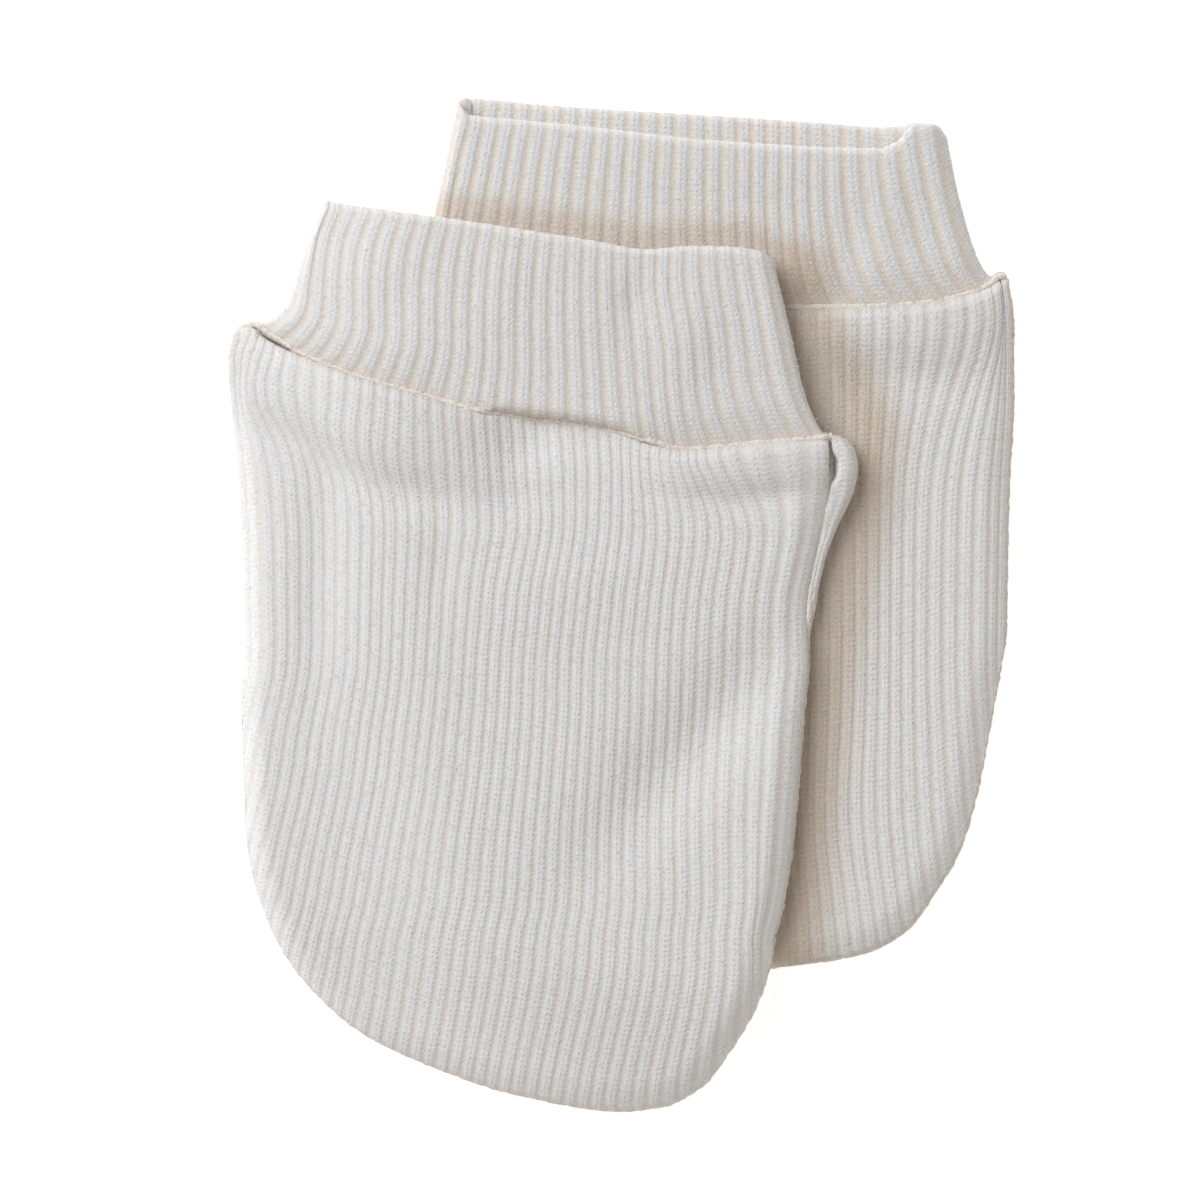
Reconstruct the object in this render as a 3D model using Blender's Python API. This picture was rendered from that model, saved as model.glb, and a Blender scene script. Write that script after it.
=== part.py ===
"""A pair of baby mittens in rib knit, laid flat, one lying partly over the other.

Each mitten is three sewn pieces: an under panel, a top panel and a cuff. Both mittens have the same cut,
and each has its own lay, which says where its seams and edges run. Sizes are in millimetres up to the end.
X runs across the mittens, Y runs from the fingertips to the cuffs, and Z is up from the surface they lie on.
"""

import bmesh
import bpy
import numpy as np

MM = 0.001

# The cut, the same for both mittens
PANEL_RIBS = 45
CUFF_RIBS = 32  # on one face of the cuff when it lies flat
PLY = 1.1  # one thickness of the knit
CUFF_WALL = 2.3  # the cuff strip, folded double
CUFF_HOLLOW = 0.4  # between the two faces of a flat cuff
RIB_HEIGHT = 0.4
SEAM_GAP = 0.3

# How the cloth lies
REST = PLY + SEAM_GAP + PLY / 2  # middle of the top panel's wall at its sewn edge
TUCK_RADIUS = 1.3  # of the roll where the body puffs over the cuff seam
PUFF_POWER = 2.3  # how squarely that puff falls off down the body
EDGE_LEFT = 2.8  # width of the rounding along a panel's left edge
EDGE_RIGHT = 4.2  # and along its right one
UNDER_INSET = 0.35  # of the under panel's edge from the top panel's
PINCH_REACH = 3.5  # how far up the cuff its seam pinches it
CUFF_BULGE = 1.8  # rounding of the cuff's lower edge where it stands over the body
FOLD_ROUND = 0.7  # rounding of the cuff's top fold
RAMP_BODY = 30.0  # the upper mitten comes down to the surface over this width
RAMP_CUFF = 27.0
COVERED_BODY = 5.2  # height of the lower mitten under the upper one, with its clearance
COVERED_CUFF = 5.7

# Where the solids have their points
CUFF_POINTS = 20  # across each plain face of a cuff
CUFF_LENGTH = 80.0  # of the flat cuff's width, by which its points are shared out
CUFF_OUTER_ROWS = (0.0, 0.06, 0.14, 0.25, 0.4, 0.6, 0.8, 0.93, 1.0)
CUFF_INNER_ROWS = (0.0, 0.12, 0.3, 0.6, 0.93, 1.0)
TUCK_ROWS = (-1, -0.65, -0.3)
UPPER_ROWS = 24
LOWER_ROWS = 12
LOWER_UNDER_ROWS = 7

CREAM = (0.80, 0.76, 0.70, 1.0)


def table(columns, *rows):
    """A short table, as one array for each named column."""
    return dict(zip(columns.split(), np.array(rows, float).T))


def curve(knots, key, value, at):
    """A smooth line through a table's `value` over its `key`, without overshoot and level past its ends."""
    x, y = knots[key], knots[value]
    order = np.argsort(x)
    x, y = x[order], y[order]
    step = np.diff(x)
    slope = np.diff(y) / step
    before, after = slope[:-1], slope[1:]
    same = before * after > 0
    mean = np.where(same, 2 * before * after / np.where(same, before + after, 1.0), 0.0)
    tangent = np.concatenate([slope[:1], mean, slope[-1:]])
    at = np.clip(at, x[0], x[-1])
    i = np.clip(np.searchsorted(x, at) - 1, 0, len(x) - 2)
    k = (at - x[i]) / step[i]
    return (
        y[i] * (1 + 2 * k) * (1 - k) ** 2
        + tangent[i] * step[i] * k * (1 - k) ** 2
        + y[i + 1] * k * k * (3 - 2 * k)
        - tangent[i + 1] * step[i] * k * k * (1 - k)
    )


def ease(start, end, at):
    """0 before start and 1 past end, with a smooth step between them."""
    k = np.clip((at - start) / (end - start), 0.0, 1.0)
    return k * k * (3 - 2 * k)


# sides: where the two side seams run, how far the under panel reaches past the right one (strip), and how
#        high its edge curls up there (lip)
# seam: the cuff seam from left to right, the height of the body's puff behind it (crest), how far that
#       puff rolls over (roll, degrees), how far the seam pinches the cuff (dip), and how far down the body
#       the puff dies away (reach)
# tip: the rounded fingertip edge
# cuff_sides: the cuff's left and right folds, from its seam (0) to its top fold (1)
# cuff_top: the top fold of the cuff's upper and under layers
# folds, cuff_folds: ridges and troughs in the top panel and the cuff: centre, direction of the fold in
#       degrees, length, width, height
# spacing: how far across the panel a rib lies, for ribs counted from the left
# drags, cuff_drags: where the ribs are pulled sideways: centre, reach across and along, distance
UPPER = dict(
    sides=table(
        "y left right strip lip",
        (40, -55.6, 29.8, 1.2, 1.5),
        (36, -57.1, 30.2, 1.6, 1.5),
        (30, -56.7, 30.4, 0.8, 1.5),
        (24.6, -56.1, 30.3, 1.2, 1.0),
        (24.1, -56.0, 30.3, 2.5, 1.9),
        (23.2, -55.9, 30.3, 3.5, 2.5),
        (21.6, -55.8, 30.4, 4.15, 2.9),
        (19.4, -55.6, 30.4, 4.45, 3.0),
        (16.5, -55.4, 30.2, 4.1, 2.7),
        (13.5, -55.2, 29.8, 3.3, 2.3),
        (10.9, -55.0, 29.4, 2.4, 1.9),
        (6, -54.8, 28.3, 1.7, 1.5),
        (0, -54.7, 27.2, 1.6, 1.2),
        (-3, -54.6, 27.1, 1.1, 0.7),
        (-6, -54.5, 27.2, 0.4, 0.2),
        (-9, -54.6, 27.3, -0.35, 0),
        (-14, -55.6, 26.8, -0.35, 0),
        (-18, -56.6, 26.4, -0.35, 0),
        (-26, -57.9, 25.8, -0.35, 0),
        (-38, -60.8, 24.6, -0.35, 0),
        (-44, -62.0, 23.6, -0.35, 0),
        (-50, -63.6, 22.4, -0.35, 0),
        (-75, -69.0, 22.4, -0.35, 0),
    ),
    seam=table(
        "x y crest roll dip reach",
        (-57.2, 37.4, 3.4, 100, 1.2, 8),
        (-55.8, 40.2, 4.5, 140, 1.2, 8.5),
        (-53.6, 40.9, 5.3, 145, 1.2, 9),
        (-51.4, 39.6, 5.8, 145, 1.2, 10),
        (-47.0, 37.0, 6.4, 145, 1.2, 11),
        (-39.5, 33.8, 6.6, 145, 1.2, 12),
        (-34.0, 32.1, 6.3, 135, 1.2, 12.5),
        (-28.0, 30.5, 5.8, 120, 1.0, 12.5),
        (-24.0, 29.3, 5.2, 90, 0.6, 12.5),
        (-20.0, 28.4, 4.1, 55, 0.2, 12),
        (-16.0, 27.8, 2.7, 30, 0.1, 10),
        (-12.0, 27.2, 2.1, 15, 0.0, 7),
        (-9.0, 26.8, 2.5, 15, 0.0, 6),
        (-1.5, 25.6, 3.0, 30, 0.0, 6),
        (4.5, 24.0, 4.0, 75, 0.5, 5.5),
        (9.0, 22.8, 5.0, 105, 1.0, 5),
        (15.0, 23.2, 5.5, 125, 1.2, 5),
        (21.0, 23.8, 5.4, 120, 1.2, 5),
        (27.0, 24.2, 4.9, 135, 1.0, 5),
        (31.0, 24.6, 3.9, 120, 0.8, 5),
    ),
    tip=table(
        "x y",
        (-55.2, -13),
        (-54.9, -25),
        (-54.5, -34),
        (-53.7, -39.5),
        (-51.8, -45.4),
        (-49.2, -51),
        (-44.6, -57),
        (-37.6, -63),
        (-29, -67.2),
        (-14, -72.2),
        (0, -74.3),
        (6, -73.7),
        (11.5, -71),
        (16.5, -64.5),
        (19.6, -59),
        (21.4, -54),
        (22.3, -49),
    ),
    cuff_sides=table(
        "v left right",
        (0.0, -53.4, 30.0),
        (0.1, -51.6, 28.6),
        (0.3, -48.8, 26.8),
        (0.5, -47.5, 25.7),
        (0.8, -45.3, 24.0),
        (1.0, -43.6, 22.8),
    ),
    cuff_top=table(
        "x upper under",
        (-44, 59.0, 58.9),
        (-40, 58.2, 57.4),
        (-34, 57.3, 56.5),
        (-18, 55.0, 54.2),
        (-4, 52.8, 52.0),
        (4, 51.5, 50.8),
        (10, 52.0, 51.2),
        (16, 51.9, 51.2),
        (20, 51.4, 50.8),
        (23, 49.6, 49.5),
    ),
    folds=table(
        "x y turn length width height",
        (-46, 25.0, -33, 9, 3.4, -2.1),
        (-31, 17.0, -14, 11, 4.0, -2.1),
        (-13, 15.5, 2, 7, 2.6, -0.4),
        (-14, 20.5, -6, 7, 2.6, 0.3),
        (22, 16.5, 3, 7, 2.6, -0.9),
        (8, 16.0, -8, 7, 2.4, -0.5),
        (-50, -12, 88, 45, 12, 1.5),
        (-50, 4, 88, 22, 3.8, 0.3),
        (-44, 4, 88, 20, 3.6, -0.9),
        (-18, 23.5, 0, 6.5, 2.6, -1.2),
        (-26, 6, 85, 9, 2.5, -0.35),
        (12, -20, 50, 24, 6.5, -1.9),
        (-14, -64, -16, 34, 9, -0.8),
        (11, 17.8, -42, 6, 1.6, -0.5),
        (-6, 2, 10, 14, 6.0, 0.5),
        (20, -42, 75, 14, 4.0, 0.4),
    ),
    spacing=table(
        "rib share",
        (0, 0.0),
        (1, 0.012),
        (4, 0.075),
        (10, 0.205),
        (14, 0.287),
        (20, 0.424),
        (28, 0.594),
        (36, 0.767),
        (40, 0.861),
        (43, 0.941),
        (45, 1.0),
    ),
    drags=table(
        "x y across along shift",
        (20, 22.5, 10, 8, -6.0),
        (6, 19, 5, 8, -1.1),
        (-48, 31, 7, 7, -3.2),
        (-40, 24.5, 5, 5, -1.6),
        (-33.5, 21, 5, 5, -1.2),
        (-16, 11, 10, 6, 0.8),
        (-8, -9, 30, 6, -1.1),
        (5, -52, 30, 16, 3.4),
    ),
    cuff_drags=table(
        "x v across along shift",
        (-36, 0.85, 14, 0.5, -2.9),
        (-10, 0.6, 14, 0.9, -1.7),
        (10, 0.85, 7, 0.25, -1.3),
        (14, 0.2, 9, 0.5, -1.9),
    ),
    cuff_folds=table(
        "x y turn length width height",
        (2.0, 43.5, 86, 5, 2.4, -0.6),
        (9.5, 38.0, 80, 8, 4.0, 0.6),
        (-33.0, 43.0, 70, 9, 4.0, -0.4),
        (-17.0, 46.0, 84, 7, 3.0, 0.3),
    ),
    puff=(2.1, 2.1),
    mouth=0.4,
)
LOWER = dict(
    sides=table(
        "y left right strip lip",
        (50, -28.4, 55.4, -0.35, 0),
        (47, -30.2, 56.6, -0.35, 0),
        (40, -30.4, 57.4, -0.35, 0),
        (30, -29.9, 57.4, -0.35, 0),
        (15, -29.0, 56.7, -0.35, 0),
        (0, -28.4, 56.4, -0.35, 0),
        (-8, -28.0, 56.3, -0.35, 0),
        (-25, -29.0, 57.2, -0.35, 0),
        (-54, -32.0, 60.0, -0.35, 0),
    ),
    seam=table(
        "x y crest roll dip reach",
        (-30.5, 47.5, 2.4, 10, 1.2, 7),
        (-28.5, 49.6, 2.8, 30, 1.2, 7),
        (-22, 47.1, 3.3, 60, 1.2, 7),
        (-8, 44.9, 3.3, 60, 1.2, 7),
        (22, 43.8, 3.5, 65, 1.2, 7),
        (29, 43.7, 4.8, 115, 1.2, 6),
        (36, 43.8, 5.4, 140, 1.2, 6),
        (44, 44.3, 5.5, 145, 1.2, 7),
        (50, 45.4, 5.1, 130, 1.2, 8),
        (54, 46.9, 4.6, 140, 1.2, 8),
        (56, 48.2, 3.9, 125, 1.2, 8),
        (57.5, 46.4, 3.2, 90, 1.2, 8),
    ),
    tip=table(
        "x y",
        (-28.0, -8),
        (-26.2, -18),
        (-24.1, -27.5),
        (-21.4, -36.5),
        (-18, -42.4),
        (-13.6, -47.8),
        (-7, -51.4),
        (2, -53.4),
        (14, -54.0),
        (26, -52.9),
        (35.5, -51.3),
        (42, -47.8),
        (46, -42.4),
        (49.5, -36.5),
        (52.2, -27.5),
        (54.2, -17),
        (56.2, -6),
    ),
    cuff_sides=table(
        "v left right",
        (0.0, -28.4, 55.2),
        (0.1, -27.9, 53.6),
        (0.25, -27.5, 52.2),
        (0.4, -26.9, 51.2),
        (0.7, -25.5, 49.5),
        (1.0, -24.0, 48.2),
    ),
    cuff_top=table(
        "x upper under",
        (-24, 73.9, 74.0),
        (-22, 71.4, 74.0),
        (-14, 70.6, 73.3),
        (-5, 69.7, 72.6),
        (12, 67.8, 71.6),
        (30, 66.7, 70.4),
        (38, 66.5, 69.8),
        (40.5, 67.5, 69.9),
        (43.4, 70.1, 70.4),
        (46, 70.1, 70.2),
        (48.2, 68.4, 68.4),
    ),
    folds=table(
        "x y turn length width height",
        (44, 33, 0, 10, 4, -0.5),
        (36, 10, 80, 22, 4, 0.3),
    ),
    spacing=table(
        "rib share",
        (0, 0.0),
        (32, 0.7225),
        (35, 0.785),
        (38, 0.846),
        (41, 0.92),
        (43, 0.97),
        (45, 1.0),
    ),
    drags=table(
        "x y across along shift",
        (47.5, 43, 7.5, 15, 5.4),
        (35, -32, 8, 14, -1.5),
    ),
    cuff_drags=table(
        "x v across along shift",
        (-14, 0.6, 18, 2, -2.0),
        (12, 0.6, 14, 2, -1.4),
        (33, 0.3, 12, 1.2, -3.6),
    ),
    cuff_folds=table(
        "x y turn length width height",
        (40.0, 58.0, 78, 8, 3.0, 0.3),
        (33.0, 50.0, 82, 6, 3.0, -0.4),
    ),
    puff=(1.8, 1.5),
    mouth=1.0,
)
# The curl of the under panel's right edge: its height, and that of its underside, as shares of the lip
LIP = table(
    "share rise under",
    (0.3, 0.0, 0.0),
    (0.5, 0.8, 0.0),
    (0.72, 1.0, 0.1),
    (1.0, 0.45, 0.35),
)
# The upper mitten's right edge, where the lower one comes out from under it
SHELTER = table("y x", (60, 22), (44, 25), (24, 34), (10, 32), (-10, 28), (-50, 23))


def fold_line(lay):
    """The whole edge of a mitten's body from left to right, as points, but for its cuff seam."""
    tip = lay["tip"]
    x = np.linspace(tip["x"][0], tip["x"][-1], 120)
    arc = np.stack([x, curve(tip, "x", "y", x)], 1)
    left_y = np.linspace(lay["sides"]["y"][0] + 3, arc[0, 1], 40)[:-1]
    right_y = np.linspace(arc[-1, 1], lay["sides"]["y"][0] + 3, 40)[1:]
    left = np.stack([curve(lay["sides"], "y", "left", left_y), left_y], 1)
    right = np.stack([curve(lay["sides"], "y", "right", right_y), right_y], 1)
    return np.concatenate([left, arc, right])


def distance(x, y, line):
    """How far each point lies from a line of points."""
    start, run = line[:-1], np.diff(line, axis=0)
    point = np.stack([x, y], -1)[..., None, :]
    k = ((point - start) * run).sum(-1) / np.maximum((run**2).sum(-1), 1e-9)
    near = start + np.clip(k, 0, 1)[..., None] * run
    return np.sqrt(((point - near) ** 2).sum(-1)).min(-1)


def pulled(drags, x, along, share):
    """How far the ribs are pulled sideways, fading out towards the two edges of the cloth."""
    moved = np.zeros_like(x)
    for cx, at, across, reach, shift in zip(*drags.values()):
        moved += shift * np.exp(-(((x - cx) / across) ** 2) - ((along - at) / reach) ** 2)
    return moved * ease(0, 0.07, share) * ease(0, 0.07, 1 - share)


def column(lay, u, y):
    """The x at which the rib line u (0 left, 1 right) crosses y."""
    left = curve(lay["sides"], "y", "left", y)
    right = curve(lay["sides"], "y", "right", y)
    x = left + (right - left) * curve(lay["spacing"], "rib", "share", u * PANEL_RIBS)
    return x + pulled(lay["drags"], x, y, u)


def meet(lay, u, line, low, high):
    """The y at which each rib line meets a line that is given as y over x."""
    low = np.full(u.shape, float(low))
    high = np.full(u.shape, float(high))
    for _ in range(40):
        y = (low + high) / 2
        above = y > curve(line, "x", "y", column(lay, u, y))
        high = np.where(above, y, high)
        low = np.where(above, low, y)
    return (low + high) / 2


def folds_at(folds, x, y):
    """Height of all the ridges and troughs of a table."""
    z = np.zeros_like(x)
    for cx, cy, turn, length, width, height in zip(*folds.values()):
        c, s = np.cos(np.radians(turn)), np.sin(np.radians(turn))
        along = (x - cx) * c + (y - cy) * s
        across = (y - cy) * c - (x - cx) * s
        z += height * np.exp(-((along / length) ** 2) - (across / width) ** 2)
    return z


def top_middle(lay, u, w):
    """The middle of a top panel's wall.

    w runs from -1, where the panel is tucked in at the cuff seam, over the crest at 0, to the tip at 1.
    """
    seam_y = meet(lay, u, lay["seam"], 10, 60)
    seam_x = column(lay, u, seam_y)
    crest = curve(lay["seam"], "x", "crest", seam_x)
    roll = np.radians(curve(lay["seam"], "x", "roll", seam_x))
    tip_y = meet(lay, u, lay["tip"], -80, 0)
    nose = (TUCK_RADIUS + PLY / 2 + RIB_HEIGHT) * np.sin(np.minimum(roll, np.pi / 2))
    start = seam_y - nose - SEAM_GAP / 2
    turn = np.minimum(w, 0) * -roll
    y = start + (tip_y - start) * np.maximum(w, 0)
    x = column(lay, u, y)
    rounding = EDGE_LEFT + (EDGE_RIGHT - EDGE_LEFT) * u
    edge = np.clip(distance(x, y, fold_line(lay)) / rounding, 0, 1)
    covered, open_ = lay["puff"]
    puff = covered + (open_ - covered) * ease(-2, 7, x - curve(SHELTER, "y", "x", y))
    z = REST + (puff + folds_at(lay["folds"], x, y)) * np.sin(edge * np.pi / 2)
    reach = curve(lay["seam"], "x", "reach", seam_x)
    z = z + (crest - z) * np.exp(-((np.maximum(start - y, 0) / reach) ** PUFF_POWER))
    y = y + TUCK_RADIUS * np.sin(turn)
    z = z - TUCK_RADIUS * (1 - np.cos(turn))
    return np.stack([x, y, z], -1)


def normals(middle, u, w):
    """Unit normals of a surface that middle(u, w) gives, by small steps inside its range."""
    step = 2e-4
    right, left = np.minimum(u + step, 1), np.maximum(u - step, 0)
    down, up = np.minimum(w + step, 1), np.maximum(w - step, -1)
    across = middle(right, w) - middle(left, w)
    along = middle(u, up) - middle(u, down)
    n = np.cross(across, along)
    return n / np.maximum(np.linalg.norm(n, axis=-1, keepdims=True), 1e-12)


def lift(x, y):
    """How high the lower mitten holds the upper one at each place."""
    inside = (x > curve(LOWER["sides"], "y", "left", y)) & (y > curve(LOWER["tip"], "x", "y", x))
    away = np.where(inside, 0.0, distance(x, y, fold_line(LOWER)))
    up = ease(29, 42, y)
    height = COVERED_BODY + (COVERED_CUFF - COVERED_BODY) * up
    return height * (1 - ease(0, RAMP_BODY + (RAMP_CUFF - RAMP_BODY) * up, away))


class Cloth:
    """Points and faces of one closed piece, put together from grids and the strips between them."""

    def __init__(self):
        self.points = []
        self.faces = []

    def grid(self, points, closed=False):
        """Faces over a grid of points, with its last column joined to its first if it is closed."""
        rows, columns = points.shape[:2]
        first = len(self.points)
        self.points.extend(points.reshape(-1, 3).tolist())
        index = first + np.arange(rows * columns).reshape(rows, columns)
        if closed:
            index = np.concatenate([index, index[:, :1]], 1)
        for a, b in zip(index[:-1], index[1:]):
            self.faces.extend(zip(a[:-1].tolist(), a[1:].tolist(), b[1:].tolist(), b[:-1].tolist()))
        return index

    def strip(self, one, other):
        """Triangles between two lines of points that run the same way."""
        points = np.array(self.points)

        def shares(line):
            run = np.linalg.norm(np.diff(points[line], axis=0), axis=1)
            return np.concatenate([[0], np.cumsum(run)]) / run.sum()

        a, b = shares(one), shares(other)
        i = j = 0
        while i < len(one) - 1 or j < len(other) - 1:
            if j == len(other) - 1 or (i < len(one) - 1 and a[i + 1] <= b[j + 1]):
                self.faces.append((one[i], one[i + 1], other[j]))
                i += 1
            else:
                self.faces.append((one[i], other[j + 1], other[j]))
                j += 1

    def close(self, outer, inner):
        """Joins the borders of an outer and an inner grid, all round."""
        for a, b in (
            (outer[0], inner[0]),
            (outer[-1], inner[-1]),
            (outer[:, 0], inner[:, 0]),
            (outer[:, -1], inner[:, -1]),
        ):
            self.strip(a.tolist(), b.tolist())

    def make(self, name):
        """The piece as an object in metres, with its faces turned outwards and its own material."""
        mesh = bpy.data.meshes.new(name)
        faces = [[int(i) for i in face] for face in self.faces]
        mesh.from_pydata([[c * MM for c in p] for p in self.points], [], faces)
        work = bmesh.new()
        work.from_mesh(mesh)
        bmesh.ops.recalc_face_normals(work, faces=work.faces)
        if work.calc_volume(signed=True) < 0:
            bmesh.ops.reverse_faces(work, faces=work.faces)
        work.to_mesh(mesh)
        work.free()
        mesh.polygons.foreach_set("use_smooth", [True] * len(mesh.polygons))
        material = bpy.data.materials.new(name + "_knit")
        material.use_nodes = True
        shader = material.node_tree.nodes["Principled BSDF"]
        shader.inputs["Base Color"].default_value = CREAM
        shader.inputs["Roughness"].default_value = 0.95
        mesh.materials.append(material)
        piece = bpy.data.objects.new(name, mesh)
        bpy.context.collection.objects.link(piece)
        return piece


def ridges(ribs):
    """Relief along a row of points, two to a rib: the ribs stand out between plain furrows."""
    return RIB_HEIGHT * (np.arange(2 * ribs + 1) % 2)


def raised(points, on_top):
    """A mitten's points, lifted where it lies over the other one."""
    if on_top:
        points = points.copy()
        points[..., 2] += lift(points[..., 0], points[..., 1])
    return points


def body_rows(count):
    """Row positions from the cuff seam (0) to the tip (1), closer together near the seam."""
    k = np.linspace(0, 1, count)
    return 0.5 * k + 0.5 * k * k


def top_panel(lay, name, on_top, rows):
    """The panel that shows, with its ribs raised in the outer points over a plain inside."""

    def middle(u, w):
        return top_middle(lay, u, w)

    cloth = Cloth()
    grids = []
    rows = np.concatenate([TUCK_ROWS, body_rows(rows)])
    for count, sign in ((2 * PANEL_RIBS + 1, 1), (PANEL_RIBS // 2 + 1, -1)):
        w, u = np.meshgrid(rows, np.linspace(0, 1, count), indexing="ij")
        wall = np.full(u.shape, PLY / 2) + (ridges(PANEL_RIBS) if sign > 0 else 0)
        points = middle(u, w) + sign * normals(middle, u, w) * wall[..., None]
        grids.append(cloth.grid(raised(points, on_top)))
    cloth.close(*grids)
    return cloth.make(name)


def under_panel(lay, name, on_top, rows):
    """The panel that lies flat on the surface, and curls up along the right edge where it shows."""
    across = np.linspace(0, 1, PANEL_RIBS // 2 + 1)
    t, u = np.meshgrid(body_rows(rows), across, indexing="ij")
    seam_y = meet(lay, u, lay["seam"], 10, 60) - SEAM_GAP / 2
    tip_y = meet(lay, u, lay["tip"], -80, 0) + UNDER_INSET
    y = seam_y + (tip_y - seam_y) * t
    left = curve(lay["sides"], "y", "left", y) + UNDER_INSET
    right = curve(lay["sides"], "y", "right", y)
    strip = curve(lay["sides"], "y", "strip", y)
    x = np.clip(column(lay, u, y), left, right + np.minimum(strip - 2 * UNDER_INSET, 0))
    top = np.stack([x, y, np.full_like(x, PLY)], -1)
    bottom = np.stack([x, y, np.zeros_like(x)], -1)
    start, y, end = x[:, -1:], y[:, -1:], (right + strip)[:, -1:]
    lip = curve(lay["sides"], "y", "lip", y) * ease(0.2, 1.0, strip[:, -1:])
    for share, rise, under in zip(*LIP.values()):
        x = start + (end - start) * share
        top = np.concatenate([top, np.stack([x, y, PLY + rise * lip], -1)], 1)
        bottom = np.concatenate([bottom, np.stack([x, y, under * lip], -1)], 1)
    cloth = Cloth()
    cloth.close(cloth.grid(raised(top, on_top)), cloth.grid(raised(bottom, on_top)))
    return cloth.make(name)


def cuff_points(lay, share, layer, v, inward, outside):
    """Points of the cuff's wall, as deep as `inward` inside its outer face.

    share runs from 0 at the left fold to 1 at the right one, layer is 1 on top and -1 underneath, and v runs
    from 0 at the seam to 1 at the top fold.
    """
    half = CUFF_WALL + CUFF_HOLLOW / 2
    left = curve(lay["cuff_sides"], "v", "left", v)
    right = curve(lay["cuff_sides"], "v", "right", v)
    corner = np.pi * half / 2
    flat = CUFF_LENGTH - 2 * half
    run = share * (flat + 2 * corner)
    turn = np.clip(run / corner, 0, 1) - np.clip((run - flat - corner) / corner, 0, 1)
    side = np.where(run < corner + flat / 2, -1, 1)
    upright = np.sin(turn * np.pi / 2)
    reach = half - inward
    across = np.clip((run - corner) / flat, 0, 1)
    x = left + half + (right - left - 2 * half) * across
    x = x + pulled(lay["cuff_drags"], x, v, share) + side * reach * np.cos(turn * np.pi / 2)
    base = curve(lay["seam"], "x", "y", x) + SEAM_GAP / 2
    top = curve(lay["cuff_top"], "x", "upper" if layer > 0 else "under", x)
    y = base + (top - base) * v
    z = half + layer * reach * upright
    if layer > 0:
        z = z + upright * lay["mouth"] * ease(0.35, 1, v) * np.sqrt(np.sin(np.pi * share))
    if layer > 0 and outside:
        dip = curve(lay["seam"], "x", "dip", x) * np.exp(-(((y - base) / PINCH_REACH) ** 2))
        over = ease(0, 1.2, 4.0 - curve(lay["seam"], "x", "crest", x))
        down = 1 - np.clip((y - base) / CUFF_BULGE, 0, 1)
        bulge = over * CUFF_BULGE * (1 - np.sqrt(1 - down**2))
        z = z + upright * (folds_at(lay["cuff_folds"], x, y) - np.maximum(dip, bulge))
    return np.stack([x, y, z], -1)


def cuff(lay, name, on_top):
    """The ring of rib strip, folded double, with its top fold rounded and its seam end pinched by the seam."""
    rings = []
    for outside, stations, over_count in (
        (True, CUFF_OUTER_ROWS, 2 * CUFF_RIBS),
        (False, CUFF_INNER_ROWS, CUFF_POINTS),
    ):
        relief = RIB_HEIGHT * (np.arange(over_count) % 2) * outside
        over = np.arange(over_count) / over_count
        under = 1 - np.arange(CUFF_POINTS) / CUFF_POINTS
        rows = []
        for v in stations:
            rounded = FOLD_ROUND if v == 1.0 else 0.0
            wall = rounded if outside else CUFF_WALL - rounded
            rows.append(
                np.concatenate(
                    [
                        cuff_points(lay, over, 1, np.full_like(over, v), wall - relief, outside),
                        cuff_points(lay, under, -1, np.full_like(under, v), wall, outside),
                    ]
                )
            )
        rings.append(raised(np.array(rows), on_top))
    cloth = Cloth()
    outer, inner = (cloth.grid(ring, closed=True) for ring in rings)
    cloth.strip(outer[0].tolist(), inner[0].tolist())
    cloth.strip(outer[-1].tolist(), inner[-1].tolist())
    return cloth.make(name)


def main():
    for old in list(bpy.data.objects):
        bpy.data.objects.remove(old, do_unlink=True)
    under_panel(LOWER, "lower_mitten_under_panel", False, LOWER_UNDER_ROWS)
    top_panel(LOWER, "lower_mitten_top_panel", False, LOWER_ROWS)
    cuff(LOWER, "lower_mitten_cuff", False)
    under_panel(UPPER, "upper_mitten_under_panel", True, UPPER_ROWS)
    top_panel(UPPER, "upper_mitten_top_panel", True, UPPER_ROWS)
    cuff(UPPER, "upper_mitten_cuff", True)


main()
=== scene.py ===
"""A pair of baby mittens in cream rib knit, laid flat, one lying partly over the other.

Lengths in the tables and in how the cloth lies are millimetres, and those of the settings and the
stage are metres. X runs across the mittens, Y from the fingertips to the cuffs, and Z is up from the
surface that they lie on. Each mitten is an under panel, a top panel and a cuff, and each panel's ribs
follow rib lines, from 0 at its left side seam to 1 at its right one.
"""

import math

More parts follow.
